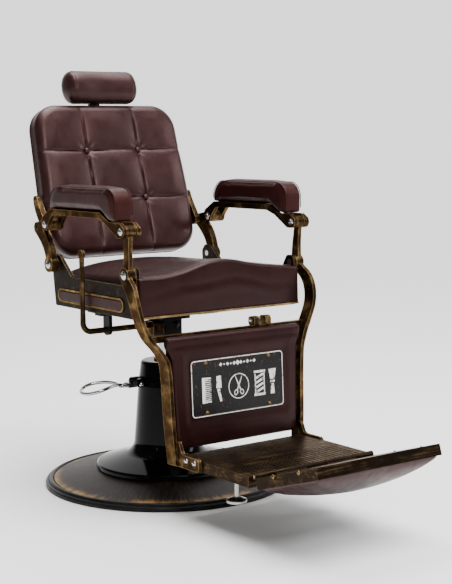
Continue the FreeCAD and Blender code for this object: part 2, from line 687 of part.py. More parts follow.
def leg_panel():
    """Upholstered board between the legs with a rolled top."""
    rolled = PANEL_TOP_Z - 13
    corners = [(-199, PANEL_LOW_Z, 6), (199, PANEL_LOW_Z, 6), (206, 424, 40), (219, 452, 20),
               (219, rolled, 0), (-219, rolled, 0), (-219, 452, 20), (-206, 424, 40)]
    board = front_view(corners, PANEL_FRONT_Y, PANEL_FRONT_Y + PANEL_T)
    roll = rod(V(-219, PANEL_FRONT_Y + 12, rolled), V(219, PANEL_FRONT_Y + 12, rolled), 13)
    return leaned(joined(board, roll))


def panel_plate():
    """Blank tin plate with a raised border and four rivets."""
    half_x, half_z = PLATE_SIZE[0] / 2, PLATE_SIZE[1] / 2
    front = PANEL_FRONT_Y

    def sheet(inset, depth):
        corners = [(sx * (half_x - inset), PLATE_Z + sz * (half_z - inset), 12)
                   for sx, sz in ((-1, -1), (1, -1), (1, 1), (-1, 1))]
        return front_view(corners, front - depth, front)

    plate = sheet(0, 2.4).cut(sheet(6, 9).cut(sheet(6, 1.4)))
    rivets = [dome(V(sx * RIVET_OFFSET[0], front - 1.4, PLATE_Z + sz * RIVET_OFFSET[1]), -Y_AXIS, 5, 3)
              for sx in (-1, 1) for sz in (-1, 1)]
    return leaned(joined(plate, *rivets))


def leg_stretcher(z, half):
    """Flat bar that ties the two legs behind the panel."""
    bar = box((-half, half), (-330, -312), (z - 15, z + 15))
    for side in SIDES.values():
        bar = bar.cut(leg(side))
    bar = bar.cut(leg_panel())
    return max(bar.Solids, key=lambda solid: solid.Volume)


def leg_crossbar():
    """Bar between the legs behind the top of the panel, with two rounded lugs."""
    bar = box((-280, 280), CROSSBAR_Y, CROSSBAR_Z)
    for side in SIDES.values():
        bar = bar.cut(leg(side))
    bar = max(bar.Solids, key=lambda solid: solid.Volume)
    front, rear = CROSSBAR_Y[0], LUG_PIN[0] + 10
    profile = [(front, CROSSBAR_Z[0], 0), (CROSSBAR_Y[1], CROSSBAR_Z[0], 0), (rear, LUG_PIN[1] - 8, 5),
               (rear, LUG_TOP_Z, 9), (front, LUG_TOP_Z, 9)]
    lugs = [side_view(profile, *span) for span in LUG_X]
    return joined(bar, *lugs).cut(cross_rod(LUG_PIN, LUG_X[0][0] - 5, LUG_X[1][1] + 5, LUG_PIN_R))


def lug_pin():
    """Headed pin through both lugs."""
    low, high = LUG_X[0][0], LUG_X[1][1]
    return joined(cross_rod(LUG_PIN, low, high, LUG_PIN_R), dome(V(low, *LUG_PIN), -X_AXIS, 7, 3),
                  dome(V(high, *LUG_PIN), X_AXIS, 7, 3))


def platform():
    """Pressed footrest tray with hinge knuckles along its front edge."""
    shell = box((-STEP_HALF, STEP_HALF), STEP_Y, STEP_Z)
    hollow = box((-STEP_HALF + SHEET, STEP_HALF - SHEET), (STEP_Y[0] + SHEET, STEP_Y[1] - SHEET),
                 (STEP_Z[0] - 5, STEP_Z[1] - SHEET - 4))
    recess = box((-STEP_HALF + 14, STEP_HALF - 14), (STEP_Y[0] + 10, STEP_Y[0] + 132),
                 (STEP_Z[1] - 4, STEP_Z[1] + 5))
    body = shell.cut(hollow).cut(recess)
    parts = [body]
    for x in (-190, -30, 130):
        parts.append(box((x, x + 60), (FLAP_HINGE[0], STEP_Y[0] + SHEET), (STEP_Z[1] - 12, STEP_Z[1])))
        parts.append(cross_rod(FLAP_HINGE, x, x + 60, 8))
    for sx in (-1, 1):
        low = V(sx * FOOT_X, FOOT_Y, STEP_Z[0])
        parts.append(rod(low, low + Z_AXIS * (STEP_Z[1] - STEP_Z[0] - 5), 12))
    body = joined(*parts).cut(cross_rod(FLAP_HINGE, -250, 250, 4))
    for sx in (-1, 1):
        low = V(sx * FOOT_X, FOOT_Y, STEP_Z[0] - 5)
        body = body.cut(rod(low, low + Z_AXIS * (STEP_Z[1] - STEP_Z[0] - 3), 5 + RUN))
    return body


def platform_tread():
    """Grooved plate let into the front half of the tray."""
    x = STEP_HALF - 15
    y = (STEP_Y[0] + 11, STEP_Y[0] + 131)
    tread = box((-x, x), y, (STEP_Z[1] - 4, STEP_Z[1]))
    pitch = 2 * (x - 8) / 24
    for i in range(24):
        groove_x = -x + 8 + (i + 0.5) * pitch
        tread = tread.cut(box((groove_x - 2, groove_x + 2), (y[0] + 6, y[1] - 6),
                              (STEP_Z[1] - 1.5, STEP_Z[1] + 1)))
    return tread


def flap_pin():
    """Long hinge pin along the front of the platform."""
    return cross_rod(FLAP_HINGE, -190, 190, 4)


def flap_point(x, f, g):
    """Point f out from the flap's hinge and g above its plane."""
    tilt = math.radians(FLAP_TILT)
    y = FLAP_HINGE[0] - f * math.cos(tilt) + g * math.sin(tilt)
    z = FLAP_HINGE[1] + f * math.sin(tilt) + g * math.cos(tilt)
    return V(x, y, z)


def flap_box(half, f, g):
    """Box in the flap's own frame."""
    face = outline([(f[0], g[0], 0), (f[1], g[0], 0), (f[1], g[1], 0), (f[0], g[1], 0)],
                   lambda p: flap_point(-half, p.x, p.y))
    return face.extrude(X_AXIS * 2 * half)


def flap_tray():
    """Hinged tray of the footrest, open below for its pad."""
    top = -5.0
    low = top - FLAP_SIDE
    body = flap_box(FLAP_HALF, (12, FLAP_LEN), (low, top))
    body = body.cut(flap_box(FLAP_HALF - SHEET, (12 + SHEET, FLAP_LEN - SHEET), (low - 5, top - SHEET)))
    parts = [body]
    for x in (-128, 33):
        lug = outline([(-7, -4, 0), (13, low + 12, 0), (13, top, 0), (0, top + 9, 0)],
                      lambda p, x=x: flap_point(x, p.x, p.y)).extrude(X_AXIS * 95)
        parts.append(lug)
        parts.append(cross_rod(FLAP_HINGE, x, x + 95, 8))
    return joined(*parts).cut(cross_rod(FLAP_HINGE, -250, 250, 4 + RUN))


def crowned_face(a0, a1, top, edge, crown, place):
    """Face with three straight sides and a lower side that bows down to the crown."""
    middle = (a0 + a1) / 2
    bow = Part.Arc(place(a0, edge), place(middle, crown), place(a1, edge)).toShape()
    sides = [Part.LineSegment(place(*p), place(*q)).toShape()
             for p, q in (((a1, edge), (a1, top)), ((a1, top), (a0, top)), ((a0, top), (a0, edge)))]
    return Part.Face(Part.Wire([bow] + sides))


def flap_pad():
    """Calf pad that fills the tray and bulges below it, crowned both ways."""
    half = FLAP_HALF - SHEET - 1
    f0, f1 = 12 + SHEET + 1, FLAP_LEN - SHEET - 1
    top = -5.0 - SHEET
    rim = -5.0 - FLAP_SIDE
    along = crowned_face(f0, f1, top, rim, -FLAP_PAD_DROP, lambda f, g: flap_point(-half, f, g))
    across = crowned_face(-half, half, top, rim - 3, -FLAP_PAD_DROP, lambda x, g: flap_point(x, f0, g))
    reach = flap_point(0, f1, 0) - flap_point(0, f0, 0)
    return along.extrude(X_AXIS * 2 * half).common(across.extrude(reach))


def levelling_foot(side):
    """Screw foot under the platform."""
    low = V(side * FOOT_X, FOOT_Y, 84)
    disc = turned([(0, 0, 0), (FOOT_R, 0, 2), (FOOT_R, 8, 3), (10, 14, 4), (0, 14, 0)])
    disc.translate(low)
    return joined(disc, rod(low + Z_AXIS * 10, V(low.x, low.y, STEP_Z[1] - 12), 5))


# ---- write the pieces ---------------------------------------------------------------
def build():
    """Every node's shape by name."""
    nodes = {f.__name__: f() for f in (
        base_rim, base_plate, pump_cover, pump_skirt, cylinder_tube, pump_head, head_bushing, lever_bracket,
        lever_pin, lever_clamp, lever_rod, piston, column_block, lock_housing, carrier_frame,
        seat_pan, seat_cushion, seat_trim, shaft_hanger, recline_lever,
        back_cushion, back_frame, headrest_collar, headrest_post, headrest_cushion,
        leg_panel, panel_plate, leg_crossbar, lug_pin, platform, platform_tread, flap_pin, flap_tray, flap_pad)}
    nodes["leg_stretcher_upper"] = leg_stretcher(395, 218)
    nodes["leg_stretcher_lower"] = leg_stretcher(205, 211)
    for name, side in SIDES.items():
        for piece in (side_plate, side_inlay, inlay_trim, back_link, arm_pad, arm_bracket, leg,
                      levelling_foot):
            nodes[f"{piece.__name__}_{name}"] = piece(side)
        nodes[f"seat_pin_rear_{name}"] = seat_pin(REAR_SEAT_PIVOT, side)
        nodes[f"seat_pin_front_{name}"] = seat_pin(FRONT_SEAT_PIVOT, side)
        nodes[f"arm_pin_rear_{name}"] = arm_pin(REAR_ARM_PIVOT, side)
        nodes[f"arm_pin_front_{name}"] = arm_pin(FRONT_ARM_PIVOT, side)
    return nodes


os.makedirs("parts", exist_ok=True)
for node, shape in build().items():
    print(f"{node:22s} solids {len(shape.Solids)} valid {shape.isValid()} "
          f"volume {shape.Volume / 1e3:9.1f} cm3")
    shape.exportStep(f"parts/{node}.step")
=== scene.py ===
"""Looks of the hydraulic barber chair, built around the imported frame.

Lengths are metres in the row frame: +Z up, the sitter faces -Y, the levers are on -X.
"""
import json
from math import cos, pi, radians, sin

import bpy
import numpy as np
from mathutils import Matrix, Vector, noise


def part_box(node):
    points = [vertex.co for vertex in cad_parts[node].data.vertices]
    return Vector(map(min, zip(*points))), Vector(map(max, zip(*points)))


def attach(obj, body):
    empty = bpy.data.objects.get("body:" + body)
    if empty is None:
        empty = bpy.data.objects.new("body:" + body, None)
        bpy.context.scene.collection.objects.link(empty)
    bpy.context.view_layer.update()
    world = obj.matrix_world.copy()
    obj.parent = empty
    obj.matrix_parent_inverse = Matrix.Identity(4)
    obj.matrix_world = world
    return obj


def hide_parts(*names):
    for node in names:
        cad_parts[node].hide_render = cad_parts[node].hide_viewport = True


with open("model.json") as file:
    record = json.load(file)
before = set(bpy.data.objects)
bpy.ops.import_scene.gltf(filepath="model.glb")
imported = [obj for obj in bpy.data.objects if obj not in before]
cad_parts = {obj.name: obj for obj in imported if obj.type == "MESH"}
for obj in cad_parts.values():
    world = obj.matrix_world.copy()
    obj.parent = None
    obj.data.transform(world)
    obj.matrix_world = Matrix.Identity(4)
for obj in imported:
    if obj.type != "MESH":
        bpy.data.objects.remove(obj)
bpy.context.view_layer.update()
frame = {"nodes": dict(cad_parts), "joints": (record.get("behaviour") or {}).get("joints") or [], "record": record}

MM = 0.001
SIDES = (("left", 1), ("right", -1))
X_AXIS = np.array((1.0, 0.0, 0.0))
JOINT = {j["name"]: j for j in frame["joints"]}


def placed(name, data):
    """New object in the scene."""
    made = bpy.data.objects.new(name, data)
    bpy.context.scene.collection.objects.link(made)
    return made


# ---- camera, light and floor
CAMERA_PLACE = (-2.0762, -3.1409, 0.9834)
CAMERA_TURN = [radians(a) for a in (-35.74, 7.13, -0.64)]   # azimuth, pitch, roll
CAMERA_LENS = 82.04
CAMERA_SHIFT = (0.0150, 0.0183)


def camera():
    """Three-quarter view from the sitter's front right, a little above the seat."""
    azimuth, pitch, roll = CAMERA_TURN
    back = Vector((sin(azimuth) * cos(pitch), -cos(azimuth) * cos(pitch),
                   sin(pitch)))
    level_right = (-back).cross(Vector((0, 0, 1))).normalized()
    level_up = level_right.cross(-back)
    right = level_right * cos(roll) + level_up * sin(roll)
    up = level_up * cos(roll) - level_right * sin(roll)
    data = bpy.data.cameras.new("camera")
    data.sensor_width = 36
    data.lens = CAMERA_LENS
    data.shift_x, data.shift_y = CAMERA_SHIFT
    data.clip_start, data.clip_end = 0.1, 60
    cam = placed("camera", data)
    cam.matrix_world = Matrix.Translation(CAMERA_PLACE) @ Matrix((right, up, back)).transposed().to_4x4()
    bpy.context.scene.camera = cam


FLOOR_REACH = 14.0
BRIGHT_WAY = (0.57, 0.80, 0.18)          # the surroundings are bright only behind the chair
BRIGHT_RANGE = (0.60, 0.88, 0.14, 1.75)  # share of that way from dim to bright, then both strengths
SOFTBOXES = (                            # name, place, target, size, watts
    ("key", (-0.4, -3.6, 2.7), (0, 0, 0.75), (1.1, 0.8), 82),
    ("strip", (-3.0, -1.1, 1.4), (0, 0, 0.4), (0.14, 1.2), 3.5),
    ("fill", (2.9, -1.6, 1.9), (0, 0, 0.5), (0.7, 1.5), 34),
    ("top", (0.2, 0.8, 3.2), (0, 0, 0.6), (1.8, 1.2), 70),
)
SKY_STRENGTH, SKY_SPREAD, SKY_TILT = 5.6, 50, (16, 9, 0)


def soft_light(name, place, target, size, watts):
    """Rectangular softbox that faces its target."""
    data = bpy.data.lights.new(name, "AREA")
    data.shape = "RECTANGLE"
    data.size, data.size_y = size
    data.energy = watts
    light = placed(name, data)
    light.location = place
    light.rotation_euler = (Vector(target) - Vector(place)).to_track_quat("-Z", "Y").to_euler()


def studio():
    """Pale floor, surroundings that are pale behind the chair, softboxes and a wide soft sun."""
    mesh = bpy.data.meshes.new("floor")
    mesh.from_pydata([(x * FLOOR_REACH, y * FLOOR_REACH, 0) for x, y in ((-1, -1), (1, -1), (1, 1), (-1, 1))],
                     [], [(0, 1, 2, 3)])
    floor = placed("floor", mesh)
    paint = Graph("floor_paint")
    paint.set(base=(0.86, 0.86, 0.86), rough=0.7)
    floor.data.materials.append(paint.material)
    world = bpy.data.worlds.new("studio")
    bpy.context.scene.world = world
    world.use_nodes = True
    nodes = Nodes(world.node_tree)
    way = nodes.node("VectorMath", "Value", ((0, nodes.node("TexCoord", "Generated")), (1, BRIGHT_WAY)),
                     operation="DOT_PRODUCT")
    glow = nodes.node("MapRange", "Result", (("Value", way), *zip(RANGE_INPUTS, BRIGHT_RANGE)),
                      interpolation_type="SMOOTHSTEP")
    background = nodes.tree.nodes["Background"]
    nodes.link((1, 1, 1), background.inputs["Color"])
    nodes.link(glow, background.inputs["Strength"])
    for softbox in SOFTBOXES:
        soft_light(*softbox)
    data = bpy.data.lights.new("sky", "SUN")
    data.energy = SKY_STRENGTH
    data.angle = radians(SKY_SPREAD)
    placed("sky", data).rotation_euler = [radians(a) for a in SKY_TILT]


# ---- materials
INPUTS = {"base": "Base Color", "rough": "Roughness", "metal": "Metallic", "normal": "Normal",
          "specular": "Specular IOR Level", "tint": "Specular Tint"}
CLOUDS = (0.3, 0.7)        # the middle range of a noise, where most of its values lie


RANGE_INPUTS = ("From Min", "From Max", "To Min", "To Max")


class Nodes:
    """A node tree with short ways to add and connect nodes."""

    def __init__(self, tree):
        self.tree = tree

    def link(self, value, socket):
        """Connect a socket, or set a number, a vector or a colour."""
        if isinstance(value, bpy.types.NodeSocket):
            self.tree.links.new(value, socket)
        elif isinstance(value, (tuple, list)) and len(value) == 3 and socket.type == "RGBA":
            socket.default_value = (*value, 1)
        else:
            socket.default_value = value

    def node(self, kind, output, inputs=(), **settings):
        """Add a node with its settings and (socket, value) inputs; gives back one output."""
        made = self.tree.nodes.new("ShaderNode" + kind)
        for name, value in settings.items():
            setattr(made, name, value)
        for socket, value in inputs:
            self.link(value, made.inputs[socket])
        return made.outputs[output]


class Graph(Nodes):
    """A node material with short names for the nodes it needs."""

    def __init__(self, name):
        self.material = bpy.data.materials.new(name)
        self.material.use_nodes = True
        super().__init__(self.material.node_tree)
        self.shader = self.tree.nodes["Principled BSDF"]
        self.place = self.node("TexCoord", "Object")

    def set(self, coat=None, sheen=None, **values):
        """Fill in the surface; coat and sheen are (weight, roughness)."""
        for name, value in values.items():
            self.link(value, self.shader.inputs[INPUTS[name]])
        for layer, pair in (("Coat", coat), ("Sheen", sheen)):
            for part, number in zip(("Weight", "Roughness"), pair or ()):
                self.shader.inputs[f"{layer} {part}"].default_value = number

    def scaled(self, scale):
        return self.node("VectorMath", 0, ((0, self.place), (1, scale)), operation="MULTIPLY")

    def noise(self, scale, detail=3.0, rough=0.5, vector=None, distortion=0.0):
        return self.node("TexNoise", "Fac", (
            ("Vector", vector or self.place), ("Scale", scale), ("Detail", detail), ("Roughness", rough),
            ("Distortion", distortion)))

    def cells(self, scale):
        return self.node("TexVoronoi", "Distance", (("Vector", self.place), ("Scale", scale)))

    def math(self, operation, a, b=0.0, clamp=False):
        return self.node("Math", 0, ((0, a), (1, b)), operation=operation, use_clamp=clamp)

    def times(self, a, b):
        return self.math("MULTIPLY", a, b)

    def plus(self, a, b, clamp=False):
        return self.math("ADD", a, b, clamp)

    def span(self, value, low, high, to_low=0.0, to_high=1.0):
        """Smooth ramp of a value from low..high to to_low..to_high."""
        numbers = zip(RANGE_INPUTS, (low, high, to_low, to_high))
        return self.node("MapRange", "Result", (("Value", value), *numbers), interpolation_type="SMOOTHSTEP")

    def mix(self, share, a, b):
        """Blend of two colours, which are sockets 6 and 7 of a Mix node, with output 2."""
        return self.node("Mix", 2, ((0, share), (6, a), (7, b)), data_type="RGBA")

    def bump(self, height, distance, strength=1.0, below=None):
        under = () if below is None else (("Normal", below),)
        return self.node("Bump", "Normal", (("Strength", strength), ("Distance", distance),
                                            ("Height", height), *under))

    def edges(self, radius, low=0.02, high=0.22):
        """1 along sharp edges, 0 on flat faces."""
        bevel = self.node("Bevel", "Normal", (("Radius", radius),), samples=4)
        plain = self.node("NewGeometry", "Normal")
        dot = self.node("VectorMath", "Value", ((0, bevel), (1, plain)), operation="DOT_PRODUCT")
        return self.span(self.math("SUBTRACT", 1.0, dot), low, high)


LEATHER_TINT = tuple(c ** 0.35 for c in (1.0, 0.26, 0.24))


def leather(name, dark, light, shine=0.40):
    """Vinyl leather: fine pebbled grain, soft creases and slow colour change."""
    g = Graph(name)
    cloud = g.span(g.noise(7, 4, 0.6), *CLOUDS)
    fleck = g.span(g.noise(160, 3, 0.7), 0.35, 0.7)
    tone = g.mix(cloud, dark, light)
    pale = tuple(min(1.0, c * 1.35 + 0.004) for c in light)
    tone = g.mix(g.times(fleck, 0.22), tone, pale)
    pebble = g.plus(g.cells(900), g.times(g.noise(520, 3, 0.7), 0.7))
    creases = g.noise(34, 4, 0.55, distortion=0.7)
    normal = g.bump(creases, 0.0011, 0.28)
    normal = g.bump(pebble, 0.00022, 0.42, normal)
    g.set(base=tone, rough=g.span(g.noise(26, 4, 0.6), *CLOUDS, 0.32, 0.44), normal=normal,
          coat=(0.02, 0.28), specular=shine, tint=LEATHER_TINT)
    return g.material


BRONZE_TINT = (0.56, 0.46, 0.34)


def rubbed_bronze(name, dark, gold, lines=(24, 24, 24), wear=0.85, cover=0.85, radius=3.2, metal=0.85,
                  shine=0.3):
    """Antique bronze: dark patina, brushed gold showing through, bright rubbed edges."""
    g = Graph(name)
    streaks = g.span(g.noise(1.0, 5, 0.62, g.scaled(lines)), 0.42, 0.72)
    patches = g.span(g.noise(16, 4, 0.6), 0.36, 0.66)
    body = g.times(g.times(streaks, patches), cover)
    rub = g.times(g.edges(radius * MM), g.span(g.noise(42, 4, 0.6), 0.25, 0.6, 0.35, 1.0))
    share = g.plus(body, g.times(rub, wear), clamp=True)
    normal = g.bump(g.noise(330, 3, 0.7), 0.00018, 0.5)
    normal = g.bump(g.noise(48, 3, 0.5), 0.0007, 0.25, normal)
    g.set(base=g.mix(share, dark, gold), rough=g.span(g.noise(90, 3, 0.6), *CLOUDS, 0.3, 0.46),
          metal=metal, normal=normal, specular=shine, tint=BRONZE_TINT)
    return g.material


def radial_bronze(name, dark, brown, gold, band):
    """Base plate: strokes that run outwards and a worn gold band near the rim."""
    g = Graph(name)
    split = g.node("SeparateXYZ", "X", ((0, g.place),)).node
    x, y = split.outputs["X"], split.outputs["Y"]
    radius = g.math("SQRT", g.plus(g.times(x, x), g.times(y, y)))
    unit = g.node("VectorMath", 0, ((0, g.scaled((1, 1, 0))),), operation="NORMALIZE")
    spoke = g.node("CombineXYZ", 0, (("Z", g.times(radius, 0.22)),))
    around = g.node("VectorMath", 0, ((0, unit), (1, spoke)), operation="ADD")
    strokes = g.noise(62, 4, 0.65, around)
    fine = g.noise(230, 3, 0.7, around)
    body = g.span(g.plus(g.times(strokes, 0.6), g.times(fine, 0.4)), 0.46, 0.64)
    tone = g.mix(body, dark, brown)
    near = g.span(radius, *band)
    patch = g.span(g.noise(3.5, 3, 0.6, around), 0.36, 0.62, 0.25, 1.0)
    mixed = g.plus(g.times(strokes, 0.35), g.times(fine, 0.65))
    level = g.plus(g.times(near, g.times(patch, 0.22)), mixed)
    share = g.times(g.span(level, 0.50, 0.74), g.times(near, patch))
    g.set(base=g.mix(share, tone, gold), rough=g.span(strokes, *CLOUDS, 0.40, 0.56), metal=0.35,
          normal=g.bump(g.plus(strokes, fine), 0.0006, 0.5), specular=0.13)
    return g.material


def enamel(name, colour, rough=(0.05, 0.11), coat=(0.0, 0.05), peel=0.2):
    """Sprayed gloss paint with faint orange peel and dust."""
    g = Graph(name)
    dust = g.span(g.noise(420, 2, 0.6), 0.62, 0.8)
    pale = tuple(c * 1.6 + 0.006 for c in colour)
    g.set(base=g.mix(dust, colour, pale), rough=g.span(g.noise(14, 4, 0.6), *CLOUDS, *rough),
          normal=g.bump(g.noise(150, 2, 0.5), 0.0002, peel), coat=coat, specular=0.08)
    return g.material


def polished(name, colour, rough=(0.06, 0.16)):
    """Plated metal with fine wiping scratches."""
    g = Graph(name)
    lines = g.noise(1.0, 3, 0.6, g.scaled((900, 900, 60)))
    dull = g.span(g.noise(60, 3, 0.6), 0.35, 0.7)
    dim = tuple(c * 0.72 for c in colour)
    g.set(base=g.mix(dull, colour, dim), rough=g.span(g.noise(70, 3, 0.6), *CLOUDS, *rough), metal=1.0,
          normal=g.bump(lines, 0.00008, 0.3))
    return g.material


def moulded_rubber(name, colour):
    """Satin black moulding with a faint mottled surface."""
    g = Graph(name)
    pale = tuple(c * 1.7 + 0.004 for c in colour)
    g.set(base=g.mix(g.span(g.noise(22, 4, 0.6), 0.35, 0.7), colour, pale),
          rough=g.span(g.noise(130, 3, 0.6), *CLOUDS, 0.3, 0.44),
          normal=g.bump(g.noise(600, 2, 0.6), 0.0002, 0.4), specular=0.14)
    return g.material


def worn_paint(name, paint, under, amount, rough=(0.28, 0.45)):
    """Old sign enamel: chips and rust spots, mostly along the edges."""
    g = Graph(name)
    spots = g.span(g.noise(120, 5, 0.72), amount, amount + 0.07)
    chips = g.times(g.edges(1.6 * MM, 0.03, 0.3), g.span(g.noise(95, 4, 0.7), 0.46, 0.54))
    share = g.plus(spots, chips, clamp=True)
    rust = g.mix(g.noise(300, 3, 0.7), under, tuple(c * 0.35 for c in under))
    g.set(base=g.mix(share, paint, rust), rough=g.span(share, 0.0, 1.0, *rough),
          normal=g.bump(g.plus(g.times(share, -1.0), g.noise(60, 3, 0.6)), 0.0004, 0.4),
          specular=0.2)
    return g.material


def sewing_thread(name, dark, light):
    """Twisted thread with a soft sheen."""
    g = Graph(name)
    g.set(base=g.mix(g.noise(700, 2, 0.5), dark, light), rough=0.55, sheen=(0.3, 0.4))
    return g.material


def plywood(name, dark, light):
    """Bare board with long grain."""
    g = Graph(name)
    grain = g.noise(1.0, 4, 0.6, g.scaled((90, 8, 90)))
    g.set(base=g.mix(grain, dark, light), rough=0.6, normal=g.bump(grain, 0.0003, 0.3))
    return g.material


BURGUNDY = leather("burgundy_leather", (0.0118, 0.0030, 0.0031), (0.0190, 0.0050, 0.0049))
# Darker copy of the burgundy leather, same hue: painted shade for the seat, its apron and the leg panel, which
# take more light.
BURGUNDY_SHADED_SEAT = leather("burgundy_seat_leather", (0.0080, 0.0019, 0.0018), (0.0128, 0.0031, 0.0028),
                        shine=0.20)
BURGUNDY_ARM = leather("burgundy_arm_leather", (0.0180, 0.0038, 0.0033), (0.0270, 0.0062, 0.0052),
                       shine=0.15)
BURGUNDY_SHELL = leather("burgundy_shell_leather", (0.0130, 0.0042, 0.0044), (0.0190, 0.0064, 0.0064))
THREAD = sewing_thread("burgundy_thread", (0.13, 0.050, 0.044), (0.22, 0.10, 0.085))
BRONZE = rubbed_bronze("antique_bronze", (0.022, 0.0125, 0.006), (0.44, 0.27, 0.115), cover=0.55)
BRONZE_FLAT = rubbed_bronze("brushed_bronze", (0.009, 0.0056, 0.0035), (0.21, 0.125, 0.055), (7, 70, 210),
                            wear=0.45, cover=0.55, radius=1.6, metal=0.7)
BRONZE_DARK = rubbed_bronze("dark_bronze", (0.0050, 0.0036, 0.0026), (0.46, 0.29, 0.12), (6, 30, 30),
                            wear=0.85, cover=0.12, radius=2.0, metal=0.25, shine=0.09)
BASE_BRONZE = radial_bronze("base_bronze", (0.0034, 0.0023, 0.0017), (0.062, 0.038, 0.023),
                            (0.38, 0.22, 0.085), band=(0.292, 0.327))
GLOSS_BLACK = enamel("gloss_black", (0.0018, 0.0018, 0.0020))
BLACK_IRON = enamel("black_iron", (0.006, 0.006, 0.006), (0.3, 0.42), (0.0, 0.3), 0.4)
CHROME = polished("bright_chrome", (0.50, 0.50, 0.52))
DULL_STEEL = polished("dull_steel", (0.42, 0.40, 0.38), (0.2, 0.34))
BRONZED_STEEL = polished("bronzed_steel", (0.40, 0.30, 0.19), (0.2, 0.34))
BRASS = rubbed_bronze("aged_brass", (0.16, 0.10, 0.045), (0.66, 0.46, 0.21), wear=0.6, cover=1.0,
                      radius=1.2, metal=1.0)
RUBBER = moulded_rubber("satin_rubber", (0.005, 0.005, 0.0052))
PLATE_BLACK = worn_paint("sign_black", (0.0050, 0.0048, 0.0050), (0.20, 0.085, 0.035), 0.60)
PLATE_WHITE = worn_paint("sign_white", (0.82, 0.81, 0.78), (0.055, 0.035, 0.026), 0.55, (0.34, 0.55))
WOOD = plywood("seat_board", (0.30, 0.19, 0.10), (0.45, 0.31, 0.18))

SLOT_LOOK = {
    "rim_rubber": RUBBER, "base_bronze": BASE_BRONZE, "gloss_black": GLOSS_BLACK, "black_iron": BLACK_IRON,
    "plain_steel": BRONZED_STEEL, "foot_steel": DULL_STEEL, "chrome_bright": CHROME, "brass_trim": BRASS,
    "bronze_cast": BRONZE, "bronze_dark": BRONZE_DARK, "bronze_brushed": BRONZE_FLAT,
    "seat_leather": BURGUNDY, "arm_leather": BURGUNDY_ARM, "shell_leather": BURGUNDY_SHELL,
    "plate_paint": PLATE_BLACK, "seat_board": WOOD,
}
for part in frame["record"]["subparts"]:
    node = frame["nodes"][part["node"]]
    node.data.materials.clear()
    node.data.materials.append(SLOT_LOOK[part["material_slot"]])


# ---- mesh helpers
def piece(name, points, faces, look, body, crease=48):
    """New object that rides on a body, smooth but for edges sharper than the crease."""
    mesh = bpy.data.meshes.new(name)
    mesh.from_pydata([tuple(p) for p in np.asarray(points, float)], [], faces)
    mesh.validate()
    mesh.materials.append(look)
    mesh.shade_smooth()
    mesh.set_sharp_from_angle(angle=radians(crease))
    made = placed(name, mesh)
    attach(made, body)
    return made


def vertices(node):
    """A CAD node's corners as an array."""
    return coords(frame["nodes"][node].data)


def hull(points):
    """Convex outline of 2-D points, anticlockwise."""
    ordered = sorted(set(map(tuple, np.round(points, 6))))

    def half(run):
        chain = []
        for p in run:
            while len(chain) > 1:
                a, b = chain[-2], chain[-1]
                if (b[0] - a[0]) * (p[1] - a[1]) - (b[1] - a[1]) * (p[0] - a[0]) > 1e-12:
                    break
                chain.pop()
            chain.append(p)
        return chain[:-1]

    return np.array(half(ordered) + half(ordered[::-1]))


def reach(outline, centre, directions):
    """Distance from the centre to the outline along each unit direction."""
    start = outline - centre
    edge = np.roll(start, -1, 0) - start
    dx, dy = directions[..., 0, None], directions[..., 1, None]
    cross = dx * edge[:, 1] - dy * edge[:, 0]
    cross = np.where(np.abs(cross) < 1e-12, 1e-12, cross)
    along = (start[:, 0] * edge[:, 1] - start[:, 1] * edge[:, 0]) / cross
    share = (start[:, 0] * dy - start[:, 1] * dx) / cross
    along = np.where((share >= -1e-6) & (share <= 1 + 1e-6) & (along > 0), along, np.inf)
    return along.min(-1)


def edge_distance(outline, points):
    """Distance from each point to the outline."""
    best = np.full(points.shape[:-1], np.inf)
    for p, q in zip(outline, np.roll(outline, -1, 0)):
        span = q - p
        t = np.clip(((points - p) @ span) / max(span @ span, 1e-12), 0, 1)
        best = np.minimum(best, np.linalg.norm(points - (p + t[..., None] * span), axis=-1))
    return best


def ease(share):
    """0 to 1 with a soft start and a soft end."""
    return share * share * (3 - 2 * share)


def unit_grid(columns, rows):
    """Grid over -1 to 1 both ways, finer towards its edge."""
    return np.meshgrid(*(t * (1.4 - 0.4 * t * t) for t in (np.linspace(-1, 1, n) for n in (columns, rows))))


def fitted_grid(outline, columns, rows):
    """Grid of 2-D points that fills an outline, finer towards its edge."""
    low, high = outline.min(0), outline.max(0)
    centre, half = (low + high) / 2, (high - low) / 2
    grid_u, grid_v = unit_grid(columns, rows)
    share = np.maximum(np.abs(grid_u), np.abs(grid_v))
    direction = np.stack([grid_u * half[0], grid_v * half[1]], -1)
    length = np.linalg.norm(direction, axis=-1, keepdims=True)
    direction = direction / np.where(length < 1e-9, 1, length)
    direction[length[..., 0] < 1e-9] = (1, 0)
    return centre + direction * (reach(outline, centre, direction) * share)[..., None]


def rounded_drop(distance, radius):
    """How far a rounded edge falls at a distance inside the outline."""
    inside = np.clip(distance, 0, radius)
    return radius - np.sqrt(np.maximum(radius ** 2 - (radius - inside) ** 2, 0))


def soft_noise(points, scale, seed=0.0):
    """Smooth noise, about -1 to 1, at each 3-D point."""
    flat = points.reshape(-1, 3) * scale + seed
    return np.array([noise.noise(Vector(p)) for p in flat]).reshape(points.shape[:-1])


def border_of(grid):
    """The outer cells of a grid, once round."""
    return np.concatenate([grid[0], grid[1:, -1], grid[-1, -2::-1], grid[-2:0:-1, 0]])


def inset_loop(outline, count, inset, centre=None):
    """Points round an outline, drawn in towards its centre."""
    border = border_of(fitted_grid(outline, count, count))
    centre = border.mean(0) if centre is None else centre
    return centre + (border - centre) * (1 - inset / np.linalg.norm(border - centre, axis=1, keepdims=True))


def flattened(points, axis, value):
    """The points moved along one axis onto a plane."""
    moved = points.copy()
    moved[:, axis] = value
    return moved


